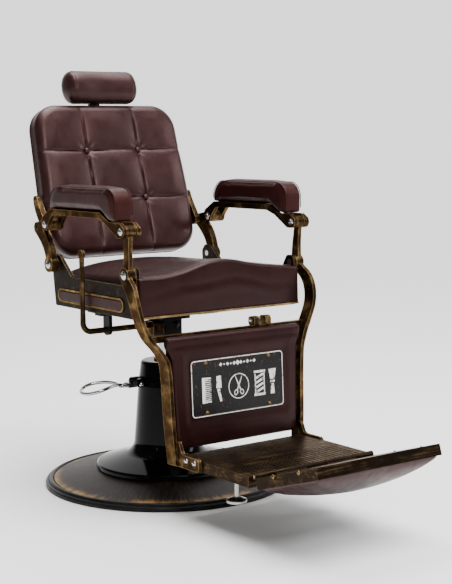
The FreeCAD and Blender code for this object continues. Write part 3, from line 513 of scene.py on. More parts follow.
def skin(rings, sides, offset=0, closed=False, flip=False):
    """Faces over rings of equal length; an open run gets a flat cap on each end."""
    faces = []
    for i in range(rings if closed else rings - 1):
        j = (i + 1) % rings
        for k in range(sides):
            m = (k + 1) % sides
            a, b, c, d = (offset + q for q in (i * sides + k, i * sides + m, j * sides + m, j * sides + k))
            faces.append((a, d, c, b) if flip else (a, b, c, d))
    if not closed:
        first = tuple(range(offset, offset + sides))
        last = tuple(q + (rings - 1) * sides for q in first)
        faces += [first, last[::-1]] if flip else [first[::-1], last]
    return faces


def square_to(axis, hint):
    """Two unit directions square to an axis."""
    side = np.cross(axis, hint)
    side /= np.linalg.norm(side)
    return side, np.cross(axis, side)


def ring_round(at, side, other, radius, sides):
    """Points of a circle in the plane of two directions."""
    turns = (2 * pi * k / sides for k in range(sides))
    return [at + radius * (side * cos(a) + other * sin(a)) for a in turns]


def slab(name, top, floor_of, look, body, rings=5, bulge=0.0, crease=55):
    """Closed pad: a shaped grid, walls down to floor_of(border points) and a flat base."""
    rows, columns = top.shape[:2]
    faces = [(r * columns + c, r * columns + c + 1, (r + 1) * columns + c + 1, (r + 1) * columns + c)
             for r in range(rows - 1) for c in range(columns - 1)]
    upper = border = border_of(np.arange(rows * columns).reshape(rows, columns))
    flat = top.reshape(-1, 3)
    edge = flat[border]
    base = floor_of(edge)
    outward = base - base.mean(0)
    outward /= np.linalg.norm(outward, axis=1, keepdims=True)
    layers = [flat]
    for k in range(1, rings + 1):
        share = k / rings
        layers.append(edge + (base - edge) * share + outward * bulge * sin(pi * share))
        lower = rows * columns + (k - 1) * len(border) + np.arange(len(border))
        faces += np.stack([np.roll(upper, -1), upper, lower, np.roll(lower, -1)], -1).tolist()
        upper = lower
    faces.append(upper[::-1].tolist())
    return piece(name, np.vstack(layers), faces, look, body, crease)


def tube(name, path, radius, look, body, sides=8, closed=False):
    """Round tube along points."""
    path = np.asarray(path, float)
    tangents = np.roll(path, -1, 0) - np.roll(path, 1, 0)
    if not closed:
        tangents[0], tangents[-1] = path[1] - path[0], path[-1] - path[-2]
    tangents /= np.linalg.norm(tangents, axis=1, keepdims=True)
    side = np.cross(tangents[0], (0.3, 0.5, 0.81))
    points = []
    for at, tangent in zip(path, tangents):
        side = side - tangent * (side @ tangent)
        side /= np.linalg.norm(side)
        points += ring_round(at, side, np.cross(tangent, side), radius, sides)
    return piece(name, points, skin(len(path), sides, closed=closed), look, body, 60)


def along(path, step):
    """Evenly spaced points on a path."""
    path = np.asarray(path, float)
    lengths = np.r_[0, np.cumsum(np.linalg.norm(np.diff(path, axis=0), axis=1))]
    places = np.arange(0, lengths[-1], step)
    return np.stack([np.interp(places, lengths, path[:, k]) for k in range(3)], -1)


STITCH_PITCH, STITCH_RADIUS, STITCH_SIDES = 6.2 * MM, 0.55 * MM, 6
STITCH_TAPER = (0.45, 0.9, 1, 1, 0.9, 0.45)
STITCH_STEPS = 8       # steps in one pitch; the stitch fills as many as its taper has


def stitches(name, paths, look, body):
    """Rows of short thread stitches laid along paths."""
    points, faces = [], []
    length = len(STITCH_TAPER)
    for path in paths:
        spots = along(path, STITCH_PITCH / STITCH_STEPS)
        for first in range(0, len(spots) - length, STITCH_STEPS):
            run = spots[first:first + length]
            tangent = run[-1] - run[0]
            tangent /= np.linalg.norm(tangent)
            directions = square_to(tangent, (0.1, 0.2, 1.0))
            faces += skin(length, STITCH_SIDES, len(points))
            for spot, taper in zip(run, STITCH_TAPER):
                points += ring_round(spot, *directions, STITCH_RADIUS * taper, STITCH_SIDES)
    return piece(name, points, faces, look, body, 70)


def lathe(name, profile, look, body, steps, crease=40):
    """Solid of revolution about the swivel axis from (r, z) points."""
    points = [(r * cos(a), r * sin(a), z)
              for a in (2 * pi * i / steps for i in range(steps)) for r, z in profile]
    return piece(name, points, skin(steps, len(profile), closed=True, flip=True), look, body, crease)


def loft(name, rings, look, body, crease=60):
    """Closed skin over rings of equal length, capped at both ends."""
    rings = np.asarray(rings, float)
    return piece(name, rings.reshape(-1, 3), skin(*rings.shape[:2]), look, body, crease)


def dimple(distance, width):
    """1 at no distance, falling off like a bell."""
    return np.exp(-(distance / width) ** 2)


def tilted(up, out):
    """Ways into and back out of a frame of x, up and out directions."""
    axes = (X_AXIS, up, out)

    def inside(points):
        return np.stack([points @ axis for axis in axes], -1)

    def outside(x, s, n):
        return sum(part[..., None] * axis for part, axis in zip(np.broadcast_arrays(x, s, n), axes))

    return inside, outside


def coords(mesh):
    flat = np.empty(len(mesh.vertices) * 3)
    mesh.vertices.foreach_get("co", flat)
    return flat.reshape(-1, 3)


def baked(thing):
    """The object's mesh with its modifiers applied; the modifiers then go."""
    mesh = bpy.data.meshes.new_from_object(thing.evaluated_get(bpy.context.evaluated_depsgraph_get()))
    thing.modifiers.clear()
    return mesh


CLOTH_FRAMES, CLOTH_PRESSURE, CLOTH_MASS, CLOTH_QUALITY, RELAX_STEPS = 20, 4.0, 0.35, 4, 6


def stuffed(name, node, look, body, voxel, tuck, cap):
    """A CAD pad remeshed, drawn in by tuck and blown up again as cloth, by cap at the most."""
    made = placed(name, frame["nodes"][node].data.copy())
    remesh = made.modifiers.new("remesh", "REMESH")
    remesh.mode = "VOXEL"
    remesh.voxel_size = voxel
    relax = made.modifiers.new("relax", "SMOOTH")
    relax.factor = 0.5
    relax.iterations = RELAX_STEPS
    mesh = made.data = baked(made)
    mesh.name = name
    start = coords(mesh) - np.array([v.normal for v in mesh.vertices]) * tuck
    mesh.vertices.foreach_set("co", start.ravel())
    mesh.update()
    cloth = made.modifiers.new("puff", "CLOTH")
    cloth.settings.use_pressure = True
    cloth.settings.uniform_pressure_force = CLOTH_PRESSURE
    cloth.settings.effector_weights.gravity = 0
    cloth.settings.mass = CLOTH_MASS
    cloth.settings.quality = CLOTH_QUALITY
    cloth.point_cache.frame_start = 1
    cloth.point_cache.frame_end = CLOTH_FRAMES
    for step in range(1, CLOTH_FRAMES + 1):
        bpy.context.scene.frame_set(step)
    moved = coords(baked(made)) - start
    bpy.context.scene.frame_set(1)
    length = np.linalg.norm(moved, axis=1, keepdims=True)
    start = start + moved * np.minimum(1, cap / np.maximum(length, 1e-9))
    mesh.vertices.foreach_set("co", start.ravel())
    mesh.update()
    finer = made.modifiers.new("finer", "SUBSURF")
    finer.levels = finer.render_levels = 1
    made.data = baked(made)
    made.data.materials.clear()
    made.data.materials.append(look)
    made.data.shade_smooth()
    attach(made, body)
    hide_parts(node)
    return made


# ---- back
UP = np.array(JOINT["headrest_slide"]["axis"], float)
FORWARD = np.cross(UP, X_AXIS)
FORWARD = FORWARD if FORWARD[1] < 0 else -FORWARD
in_back, from_back = tilted(UP, FORWARD)
SEAM_X = 0.088
BUTTON_S = (0.0, 0.146)
BUTTONS = [(x, s) for x in (-SEAM_X, SEAM_X) for s in BUTTON_S]
CUSHION = in_back(vertices("back_cushion"))
BACK_FACE = CUSHION[:, 2].max()
BACK_REAR = CUSHION[:, 2].min()
BACK_ZERO = CUSHION[:, 1].max() - 0.287      # the lower buttons' height
BACK_OUTLINE = hull(CUSHION[:, :2])
SEAM_LEVEL = BACK_FACE - 8.5 * MM
TUFT_RISE, SEAM_DROP, BUTTON_DROP = 10.5 * MM, 2.0 * MM, 5.0 * MM
PUCKER, PUCKER_WIDTH, PLEAT = 0.22 * MM, 12 * MM, 0.5 * MM
BUTTON_RINGS = ((0.0, 7.2), (3.3, 6.9), (6.2, 5.8), (8.1, 4.0), (8.9, 2.0), (8.6, -1.0),
                (7.0, -4.0))                 # radius and height in millimetres
BUTTON_SIDES = 28


def at_depth(points, n):
    """The points moved along the back's own forward axis."""
    flat = in_back(points)
    return from_back(flat[:, 0], flat[:, 1], n)


def tuft(position, seams, ends):
    """0 on each seam and 1 mid-panel; outer panels stay up to their edge."""
    stops = [ends[0] - (seams[0] - ends[0]), *seams, ends[1] + (ends[1] - seams[-1])]
    out = np.zeros_like(position)
    for a, b in zip(stops, stops[1:]):
        t = (position - a) / (b - a) * 2 - 1
        out = np.where((position >= a) & (position <= b), 1 - np.abs(np.clip(t, -1, 1)) ** 2.6, out)
    return out


def groove(offset, run, width, ripples, fullness):
    """A seam's groove and the fine puckers beside it."""
    ripple = np.sin(run * ripples[0] + 3 * np.sin(run * ripples[1]))
    return (PUCKER * ripple * dimple(offset, PUCKER_WIDTH) * fullness ** 0.5
            - SEAM_DROP * dimple(offset, width))


def tufted_front(x, s):
    """Height of the tufted leather over the seams' level."""
    half = BACK_OUTLINE[:, 0].max()
    s0, s1 = BACK_OUTLINE[:, 1].min() - BACK_ZERO, BACK_OUTLINE[:, 1].max() - BACK_ZERO
    wandering_x = x - 1.0 * MM * np.sin(s * 21 + 0.5)
    wandering_s = s - 1.4 * MM * np.sin(x * 24 + 0.6)
    across = tuft(wandering_x, (-SEAM_X, SEAM_X), (-half, half))
    upward = tuft(wandering_s, BUTTON_S, (s0, s1))
    height = TUFT_RISE * (across * upward) ** 0.48
    for seam in (-SEAM_X, SEAM_X):
        height += groove(wandering_x - seam, s, 3.0 * MM, (300, 60), across)
    for seam in BUTTON_S:
        height += groove(wandering_s - seam, x, 2.6 * MM, (290, 55), upward)
    for bx, bs in BUTTONS:
        radius, angle = np.hypot(x - bx, s - bs), np.arctan2(s - bs, x - bx)
        height -= BUTTON_DROP * dimple(radius, 17 * MM)
        height += PLEAT * np.cos(8 * angle + bx * 40) * dimple(radius - 22 * MM, 11 * MM)
    return height


def back_cushion():
    """Tufted pad with nine panels, four buttons and piping round its face."""
    grid = fitted_grid(BACK_OUTLINE, 210, 190)
    distance = edge_distance(BACK_OUTLINE, grid)
    x, s = grid[..., 0], grid[..., 1]
    rise = ease(np.clip(distance / (62 * MM), 0, 1))
    tufts = tufted_front(x, s - BACK_ZERO)
    tufts = np.where(tufts > 0, tufts * (0.35 + 0.65 * rise), tufts * np.clip(distance / (18 * MM), 0, 1))
    n = SEAM_LEVEL + tufts - rounded_drop(distance, 24 * MM) * 0.85
    n = n + 1.3 * MM * soft_noise(from_back(x, s, n), 9.0, 3.1) * rise
    cushion = slab("back_tufted", from_back(x, s, n), lambda edge: at_depth(edge, BACK_REAR), BURGUNDY,
                   "back", bulge=-1.0 * MM)
    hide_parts("back_cushion")
    border = inset_loop(BACK_OUTLINE, 60, 1.2 * MM)
    for name, n, size in (("back_piping_front", BACK_FACE - 25 * MM, 1.7 * MM),
                          ("back_piping_rear", BACK_REAR + 1.0 * MM, 2.2 * MM)):
        tube(name, from_back(border[:, 0], border[:, 1], n), size, BURGUNDY, "back",
             closed=True)
    buttons()


def buttons():
    """Covered buttons with a pinched rim."""
    points, faces = [], []
    for bx, bs in BUTTONS:
        faces += skin(len(BUTTON_RINGS), BUTTON_SIDES, len(points), flip=True)
        for radius, height in BUTTON_RINGS:
            centre = from_back(bx, bs + BACK_ZERO, SEAM_LEVEL + (height - 4.0) * MM)
            points += ring_round(centre, X_AXIS, UP, radius * MM, BUTTON_SIDES)
    piece("back_buttons", points, faces, BURGUNDY, "back", 60)


def back_shell():
    """Covered board behind the cushion, with a rounded rear edge and a row of stitches."""
    own = in_back(vertices("back_frame"))
    outline = hull(own[:, :2])
    rear, front = own[:, 2].min(), own[:, 2].max()
    grid = fitted_grid(outline, 110, 110)
    distance = edge_distance(outline, grid)
    x, s = grid[..., 0], grid[..., 1]
    n = rear + rounded_drop(distance, 14 * MM) * 0.95
    n = n + 0.6 * MM * soft_noise(from_back(x, s, n), 14.0, 7.7) * np.clip(distance / (30 * MM), 0, 1)
    shell = slab("back_shell", from_back(x, s, n)[:, ::-1], lambda edge: at_depth(edge, front),
                 BURGUNDY_SHELL, "back")
    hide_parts("back_frame")
    border = inset_loop(outline, 50, 24 * MM, outline.mean(0))
    border = np.vstack([border, border[:1]])
    path = from_back(border[:, 0], border[:, 1], rear - 0.1 * MM)
    stitches("back_shell_stitching", [path], THREAD, "back")


# ---- headrest
ROLL_POWER, ROLL_END_POWER = 2.25, 2.3       # how square the bolster's section and ends are
ROLL_END, ROLL_SEAM, NECK_DISH = 30 * MM, 21 * MM, 3.2 * MM


def headrest():
    """Bolster with rounded ends, an end seam and a soft dish for the neck."""
    own = in_back(vertices("headrest_cushion"))
    low, high = own[:, 1:].min(0), own[:, 1:].max(0)
    centre = (low + high) / 2
    half = own[:, 0].max()
    angles = np.linspace(0, 2 * pi, 112, endpoint=False)
    ray = np.stack([np.cos(angles), np.sin(angles)], -1)
    radii = (np.abs(ray / ((high - low) / 2)) ** ROLL_POWER).sum(-1) ** (-1 / ROLL_POWER)
    front = np.clip(ray[:, 1], 0, 1) ** 1.5
    creases = 0.5 * MM * np.sin(angles * 17 + 2 * np.sin(angles * 3))
    rings = []
    for t in np.linspace(-1, 1, 150):
        x = half * sin(t * pi / 2)
        off = abs(x)
        into = max(0.0, off - (half - ROLL_END)) / ROLL_END
        scale = max(0.02, (1 - into ** ROLL_END_POWER)) ** (1 / ROLL_END_POWER)
        dish = NECK_DISH * cos(min(1, off / (half * 0.75)) * pi / 2) ** 2
        seam = 1.4 * MM * dimple(off - (half - ROLL_SEAM), 1.5 * MM)
        folds = creases * dimple(off - half + 8 * MM, 8 * MM)
        r = (radii - dish * front - seam + folds) * scale
        rings.append(from_back(x, centre[0] + r * ray[:, 0], centre[1] + r * ray[:, 1]))
    roll = loft("headrest_roll", rings, BURGUNDY, "headrest")
    swell = coords(roll.data)
    swell += 0.9 * MM * soft_noise(swell, 16.0, 5.5)[:, None] * FORWARD
    roll.data.vertices.foreach_set("co", swell.ravel())
    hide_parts("headrest_cushion")


# ---- seat
SEAT_LOW, SEAT_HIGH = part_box("seat_cushion")
APRON_T = 13 * MM
TOP_HALF = 252.5 * MM
SEAT_SWELL = (1.4 * MM, 8.0, 1.3)            # height, scale and seed of the slow unevenness
SHOULDER_Z = (0.619, 0.604)                  # front and rear height at the sides
CROWN_Z = (0.650, 0.637)                     # and in the middle
SEAM_KNOTS = ((-263, 623), (-201, 622), (-152, 627), (-112, 635), (-81, 644), (-52, 652), (-29, 656),
              (0, 658), (24, 657), (55, 652), (88, 644), (131, 637), (194, 630), (263, 622))
SEAM_X_FINE = np.linspace(-0.30, 0.30, 241)
SEAM_Z_FINE = np.interp(SEAM_X_FINE, *(np.array(SEAM_KNOTS).T * MM))
for _ in range(60):
    SEAM_Z_FINE[1:-1] = (SEAM_Z_FINE[:-2] + 2 * SEAM_Z_FINE[1:-1] + SEAM_Z_FINE[2:]) / 4


def front_seam(x):
    """Height of the stitched front seam, which rises in the middle."""
    return np.interp(x, SEAM_X_FINE, SEAM_Z_FINE)


def seat_top_height(x, y):
    """Height of the seat's top: a pommel in front, a dish, lower shoulders at the rear."""
    front, rear = SEAT_LOW.y + APRON_T, SEAT_HIGH.y
    share = np.clip((y - front) / (rear - front), 0, 1)
    shoulder, crown = (a + (b - a) * share for a, b in (SHOULDER_Z, CROWN_Z))
    body = shoulder + (crown - shoulder) * (1 - np.abs(x / 0.253) ** 2.4)
    body = body - 4.5 * MM * dimple(np.hypot(x / 1.3, y - 0.02), 0.13)
    for side in (-1, 1):
        body = body - 4.0 * MM * dimple(np.hypot(x - side * 0.13, (y + 0.16) / 1.4), 0.07)
    blend = ease(np.clip((y - front) / 0.17, 0, 1))
    return front_seam(x) * (1 - blend) + body * blend


def swollen(points):
    """Slow unevenness of the seat's top at each point."""
    height, scale, seed = SEAT_SWELL
    return height * soft_noise(points, scale, seed)


def seat():
    """Seat pad, its front apron and the two rows of stitches between them."""
    front, rear = SEAT_LOW.y + APRON_T - 5 * MM, SEAT_HIGH.y
    x, y = unit_grid(190, 160)
    x, y = x * TOP_HALF, (front + rear) / 2 + y * (rear - front) / 2
    z = seat_top_height(x, y)
    z -= rounded_drop(TOP_HALF - np.abs(x), 17 * MM) * 0.9
    z -= rounded_drop(rear - y, 34 * MM) * 0.9
    z -= rounded_drop(y - front, 5 * MM) * 0.8
    z += swollen(np.stack([x, y, z], -1))
    for k, (cx, cy, tilt) in enumerate(((-0.15, -0.02, 0.5), (0.12, -0.05, -0.4), (0.02, 0.08, 0.1))):
        crease = (y - cy) - tilt * (x - cx) + 6 * MM * np.sin(x * 40 + k)
        z -= 1.1 * MM * dimple(crease, 7 * MM) * dimple(x - cx, 0.07)
    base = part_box("seat_pan")[1].z
    pad = slab("seat_pad", np.stack([x, y, z], -1), lambda edge: flattened(edge, 2, base), BURGUNDY_SHADED_SEAT,
               "seat", rings=6)
    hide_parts("seat_cushion")
    apron()
    line = np.linspace(-0.246, 0.246, 220)
    paths = []
    for back in (7 * MM, 14 * MM):
        row = np.full(len(line), front + back)
        path = np.stack([line, row, seat_top_height(line, row)], -1)
        path[:, 2] += 0.9 * MM + swollen(path)
        paths.append(path)
    stitches("seat_stitching", paths, THREAD, "seat")


def apron():
    """Front panel of the seat: a curved upper edge and a soft fold across."""
    half, front, low = SEAT_HIGH.x, SEAT_LOW.y, SEAT_LOW.z
    u, v = unit_grid(190, 70)
    x, share = u * half, (v + 1) / 2
    z = low + share * (front_seam(x) - low)
    out = 3.4 * MM * (1 - np.abs(u) ** 6) * (1 - np.abs(v) ** 3)
    fold = low + 0.052 + 0.014 * np.cos(x / half * pi) + 0.004 * np.sin(x * 30)
    out += 1.5 * MM * dimple(z - fold, 15 * MM) * (1 - u ** 2)
    out -= 0.9 * MM * dimple(z - fold - 0.02, 9 * MM) * (1 - u ** 2)
    y = front + 3.5 * MM - out
    y += rounded_drop(half - np.abs(x), 9 * MM) * (0.35 + 0.6 * share)
    y += rounded_drop(front_seam(x) - z, 8 * MM) + rounded_drop(z - low, 3 * MM) * 0.7
    y += 0.6 * MM * soft_noise(np.stack([x, y, z], -1), 14.0, 9.1)
    panel = slab("seat_apron", np.stack([x, y, z], -1), lambda edge: flattened(edge, 1, front + APRON_T),
                 BURGUNDY_SHADED_SEAT, "seat", rings=3)


def side_inlays():
    """Padded leather panels let into the side plates."""
    for name, sign in SIDES:
        own = vertices(f"side_inlay_{name}")
        outline = hull(own[:, 1:])
        inner, outer = np.abs(own[:, 0]).min(), np.abs(own[:, 0]).max()
        grid = fitted_grid(outline, 120, 26)
        distance = edge_distance(outline, grid)
        rise = (outer - inner + 1.2 * MM) - rounded_drop(distance, 4.0 * MM) * 0.85
        top = np.stack([sign * (inner + rise), grid[..., 0], grid[..., 1]], -1)
        top = top if sign > 0 else top[:, ::-1]
        pad = slab(f"side_pad_{name}", top, lambda edge, at=sign * inner: flattened(edge, 0, at),
                   BURGUNDY_ARM, "seat", rings=2)
        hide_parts(f"side_inlay_{name}")


# ---- armrests
PAD_NOSE, PAD_TAIL, PIPING_INSET = 46 * MM, 56 * MM, 4.0 * MM


def arm_pads():
    """Pads blown up as cloth on one side and mirrored to the other, with piping."""
    left = stuffed("arm_cushion_left", "arm_pad_left", BURGUNDY_ARM, "arm_left",
                   voxel=4.0 * MM, tuck=2.2 * MM, cap=3.6 * MM)
    mesh = left.data.copy()
    mesh.vertices.foreach_set("co", (coords(left.data) * (-1, 1, 1)).ravel())
    mesh.flip_normals()
    right = placed("arm_cushion_right", mesh)
    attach(right, "arm_right")
    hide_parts("arm_pad_right")
    low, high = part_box("arm_pad_left")
    nose, tail = PAD_NOSE - PIPING_INSET, PAD_TAIL - PIPING_INSET
    path = [(low.y + PIPING_INSET, z) for z in np.linspace(low.z + 14 * MM, high.z - PAD_NOSE, 8)]
    path += [(low.y + PAD_NOSE - nose * cos(a), high.z - PAD_NOSE + nose * sin(a))
             for a in np.linspace(0.1, pi / 2, 12)]
    path += [(y, high.z - PIPING_INSET) for y in np.linspace(low.y + 60 * MM, high.y - 70 * MM, 10)]
    path += [(high.y - PAD_TAIL + tail * sin(a), high.z - PAD_TAIL + tail * cos(a))
             for a in np.linspace(0.05, pi / 2, 12)]
    path = np.array([(0.0, y, z) for y, z in path])
    for name, sign in SIDES:
        for tag, x in (("inner", low.x + 3.6 * MM), ("outer", high.x - 3.6 * MM)):
            tube(f"arm_piping_{tag}_{name}", path + np.array((sign * x, 0, 0)), 1.3 * MM, BURGUNDY_ARM,
                 f"arm_{name}")


# ---- leg panel, plate and footrest
def panel_frame():
    """Upward and forward directions of the leaned leg panel."""
    plate = vertices("panel_plate")
    low, high = plate[:, 2].min(), plate[:, 2].max()
    lower = plate[plate[:, 2] < low + 4 * MM][:, 1].min()
    upper = plate[plate[:, 2] > high - 4 * MM][:, 1].min()
    up = np.array((0.0, upper - lower, high - low))
    up /= np.linalg.norm(up)
    return up, np.array((0.0, -up[2], up[1]))


PANEL_UP, PANEL_OUT = panel_frame()
in_panel, from_panel = tilted(PANEL_UP, PANEL_OUT)
PLATE = in_panel(vertices("panel_plate"))
PLATE_MIN, PLATE_MAX = PLATE.min(0), PLATE.max(0)
ROLL_RADIUS, FOOT_RADIUS, BOARD_T = 13 * MM, 6 * MM, 20 * MM
PANEL_FLARE = ((53 * MM, 205.5 * MM), (24 * MM, 218.5 * MM), (0.0, 218.5 * MM))   # below the top, half width
PANEL_HALF = 196.5 * MM


def leg_panel():
    """Covered board between the legs with a rolled top and pressed-in plate."""
    own = in_panel(vertices("leg_panel"))
    s0, s1 = own[:, 1].min(), own[:, 1].max()
    front = PLATE_MIN[2]
    profile = [(s0 + FOOT_RADIUS - FOOT_RADIUS * cos(a), front - FOOT_RADIUS + FOOT_RADIUS * sin(a))
               for a in np.radians(np.linspace(0, 90, 6))]
    profile += [(s, front) for s in np.linspace(s0 + 9 * MM, s1 - 24 * MM, 74)]
    roll_s, roll_n = s1 - ROLL_RADIUS, max(own[:, 2].min() + ROLL_RADIUS, front - 12 * MM)
    profile += [(roll_s + ROLL_RADIUS * sin(a), roll_n + ROLL_RADIUS * cos(a))
                for a in np.radians(np.linspace(0, 200, 22))]
    profile += [(s, front - BOARD_T) for s in np.linspace(s1 - 34 * MM, s0 + 6 * MM, 24)]
    flat_s, flat_n = np.array(profile).T
    below, widths = np.array(PANEL_FLARE).T
    half = np.interp(flat_s, np.r_[s0, s1 - below], np.r_[PANEL_HALF, widths])
    is_front = np.abs(flat_n - front) < 1e-9
    middle_s, middle_n = flat_s.mean(), front - BOARD_T / 2
    rings = []
    for t in np.linspace(-1, 1, 150):
        x = sin(t * pi / 2) * half
        edge = half - np.abs(x)
        tuck = np.clip(1 - edge / (8 * MM), 0, 1)
        s = flat_s - np.sign(flat_s - middle_s) * 3 * MM * tuck ** 2
        n = flat_n + (middle_n - flat_n) * 0.45 * tuck ** 2.2
        out_x = np.maximum(np.abs(x) - PLATE_MAX[0], 0)
        out_s = np.maximum(np.maximum(PLATE_MIN[1] - s, s - PLATE_MAX[1]), 0)
        away = ease(np.clip(np.hypot(out_x, out_s) / (26 * MM), 0, 1))
        soft = np.clip(np.minimum(edge, np.minimum(s - s0, s1 - s)) / (30 * MM), 0, 1)
        ripple = soft_noise(from_panel(x, s, n), 11.0, 4.2)
        swell = (2.4 * MM * soft + 0.9 * MM * ripple) * away - 1.6 * MM * dimple(s - (s1 - 26 * MM), 5 * MM)
        rings.append(from_panel(x, s, n + np.where(is_front, swell, 0)))
    board = loft("leg_panel_cover", rings, BURGUNDY_SHADED_SEAT, "legrest")
    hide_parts("leg_panel")


def flat_shape(name, outlines, depth, n):
    """Thin raised white shapes on the plate; outlines are (x, s) loops in mm about its centre."""
    centre = (PLATE_MIN + PLATE_MAX) / 2
    points, faces = [], []
    for outer, inner in outlines:
        count = len(outer)
        offset = len(points)
        for loop in (outer,) if inner is None else (outer, inner):
            x, s = np.asarray(loop).T * MM
            for lift in (0.0, depth):
                points += list(from_panel(centre[0] + x, centre[1] + s, n + lift))
        if inner is None:
            faces += skin(2, count, offset)
            continue
        for k in range(count):
            m = (k + 1) % count
            low, top, hole, rim = (offset + q * count for q in range(4))
            faces += [(low + k, low + m, top + m, top + k), (top + k, top + m, rim + m, rim + k),
                      (low + m, low + k, hole + k, hole + m), (hole + m, hole + k, rim + k, rim + m)]
    return piece(name, points, faces, PLATE_WHITE, "legrest", 30)


def circle(x, s, radius, count=48, squash=1.0, turn=0.0):
    """Round or oval loop, turned about its centre."""
    angles = np.linspace(0, 2 * pi, count, endpoint=False)
    a, b = radius * np.cos(angles), radius * squash * np.sin(angles)
    c, d = cos(turn), sin(turn)
    return np.stack([x + a * c - b * d, s + a * d + b * c], -1)


def bar(x0, s0, x1, s1, w0, w1=None):
    """Four-sided strip between two points, as wide as w0 at its start and w1 at its end."""
    w1 = w0 if w1 is None else w1
    d = np.array((x1 - x0, s1 - s0))
    n = np.array((-d[1], d[0])) / np.linalg.norm(d)
    a, b = np.array((x0, s0)), np.array((x1, s1))
    return np.array([a - n * w0 / 2, b - n * w1 / 2, b + n * w1 / 2, a + n * w0 / 2])


def rounded_rectangle(half_x, half_s, radius, steps=7):
    """Loop with four round corners."""
    across, up = half_x - radius, half_s - radius
    return np.array([(cx * across + radius * cos(a), cs * up + radius * sin(a))
                     for cx, cs, start in ((1, 1, 0), (-1, 1, 90), (-1, -1, 180), (1, -1, 270))
                     for a in np.radians(start + np.linspace(0, 90, steps))])


SHAPE_LOW, SHAPE_HIGH = -40, 28              # all sizes of the plate's shapes are in millimetres
COMB_X, RAZOR_X, POLE_X, BRUSH_X = -112, -63, 72, 115
COMB_TEETH = 13
PIVOT = np.array((2, -4))
FACE_DEPTH, RIM_DEPTH = 1.4 * MM, 2.4 * MM   # the plate's painted face and its raised rim


def scissors():
    """Ring with crossed scissors."""
    shapes = [(circle(2, -6, 34, 72), circle(2, -6, 31.4, 72))]
    for sign in (-1, 1):
        turn = radians(90 - sign * 24)
        direction = np.array((cos(turn), sin(turn)))
        shapes.append((bar(*PIVOT, *(PIVOT + direction * 29), 4.6, 0.9), None))
        shapes.append((bar(*(PIVOT - direction * 13), *PIVOT, 3.0, 4.6), None))
        eye = PIVOT - direction * 20 + np.array((-sign * 1.5, 0))
        shapes.append((circle(*eye, 8.0, 32, 0.78, turn), circle(*eye, 5.2, 32, 0.74, turn)))
    return shapes


def comb():
    bars = [bar(COMB_X, SHAPE_LOW, COMB_X, SHAPE_HIGH, 10)]
    for k in range(COMB_TEETH):
        s = SHAPE_LOW + 3 + k * (SHAPE_HIGH - SHAPE_LOW - 6) / (COMB_TEETH - 1)
        wide = 5.2 if k in (0, COMB_TEETH - 1) else 2.8
        bars.append(bar(COMB_X + 4, s, COMB_X + 24, s, wide, wide * 0.7))
    return bars


def razor():
    return [bar(RAZOR_X, -4, RAZOR_X, SHAPE_HIGH, 17, 14),
            bar(RAZOR_X - 2, -6, RAZOR_X + 6, SHAPE_LOW, 9, 6.5)]


def pole():
    """Two caps, two posts and four slanted stripes."""
    bars = [bar(POLE_X - 19, s, POLE_X + 19, s, 6.5) for s in (SHAPE_LOW + 3, SHAPE_HIGH - 3)]
    bars += [bar(x, SHAPE_LOW + 4, x, SHAPE_HIGH - 4, 3.2) for x in (POLE_X - 15, POLE_X + 15)]
    stripes = [SHAPE_LOW + 15 + k * 12.6 for k in range(4)]
    return bars + [bar(POLE_X - 12, s - 5, POLE_X + 12, s + 5, 6.4) for s in stripes]


def brush():
    return [bar(BRUSH_X, SHAPE_LOW, BRUSH_X, -12, 14, 9), bar(BRUSH_X, -9, BRUSH_X, -3, 15),
            bar(BRUSH_X, 0, BRUSH_X, SHAPE_HIGH, 15, 25)]


def plate_motif():
    """Generic barber motif in place of lettering, with a border and four rivets."""
    half_x, half_s = (PLATE_MAX - PLATE_MIN)[:2] / 2 / MM
    border = [rounded_rectangle(half_x - inset, half_s - inset, radius)
              for inset, radius in ((1.6, 10), (4, 8))]
    flat_shape("plate_border", [border], 0.35 * MM, PLATE_MIN[2] + RIM_DEPTH - 0.05 * MM)
    shapes = scissors() + [(strip, None) for strip in comb() + razor() + pole() + brush()]
    for k in range(-5, 6):
        size = 7.0 if k == 0 else 5.4 if k % 2 else 3.0
        shapes.append((circle(k * 11, half_s - 19, size, 4), None))
    face = PLATE_MIN[2] + FACE_DEPTH
    flat_shape("plate_motif", shapes, 0.4 * MM, face - 0.05 * MM)
    x, s = (PLATE_MIN + PLATE_MAX)[:2] / 2
    rivets = [(from_panel(x + sx * 103 * MM, s + ss * 66 * MM, face), PANEL_OUT)
              for sx in (-1, 1) for ss in (-1, 1)]
    domes("plate_rivets", rivets, 5.6 * MM, 3.5 * MM, BRASS, "legrest")


# ---- fasteners
DOME_RINGS, DOME_SIDES = 6, 20
SOCKET_SIDES, SOCKET_DEPTH, SOCKET_RADIUS = 6, 1.6 * MM, 2.8 * MM


def domes(name, places, radius, height, look, body):
    """Round heads that stand on a surface; places are (point, direction)."""
    points, faces = [], []
    for at, axis in places:
        axis = np.asarray(axis, float)
        directions = square_to(axis, (0.21, 0.33, 0.92))
        faces += skin(DOME_RINGS, DOME_SIDES, len(points))
        for a in np.linspace(0, pi / 2, DOME_RINGS):
            points += ring_round(at + axis * height * sin(a), *directions,
                                 radius * cos(a) + 0.01 * MM, DOME_SIDES)
    return piece(name, points, faces, look, body, 50)


def screws(heads, shade_hexes, places, radius, height, look, body, sunk=0.25 * MM):
    """Domed screws, each with a black hexagon a little below its top as painted shade in its socket."""
    domes(heads, places, radius, height, look, body)
    points, faces = [], []
    for at, axis in places:
        axis = np.asarray(axis, float)
        directions = square_to(axis, (0.0, 0.33, 0.92))
        faces += skin(2, SOCKET_SIDES, len(points))
        for lift in (height - sunk - SOCKET_DEPTH, height - sunk):
            points += ring_round(at + axis * lift, *directions, SOCKET_RADIUS, SOCKET_SIDES)
    # black hexagons: painted shade where each screw's socket hole would be
    piece(shade_hexes, points, faces, BLACK_IRON, body, 30)


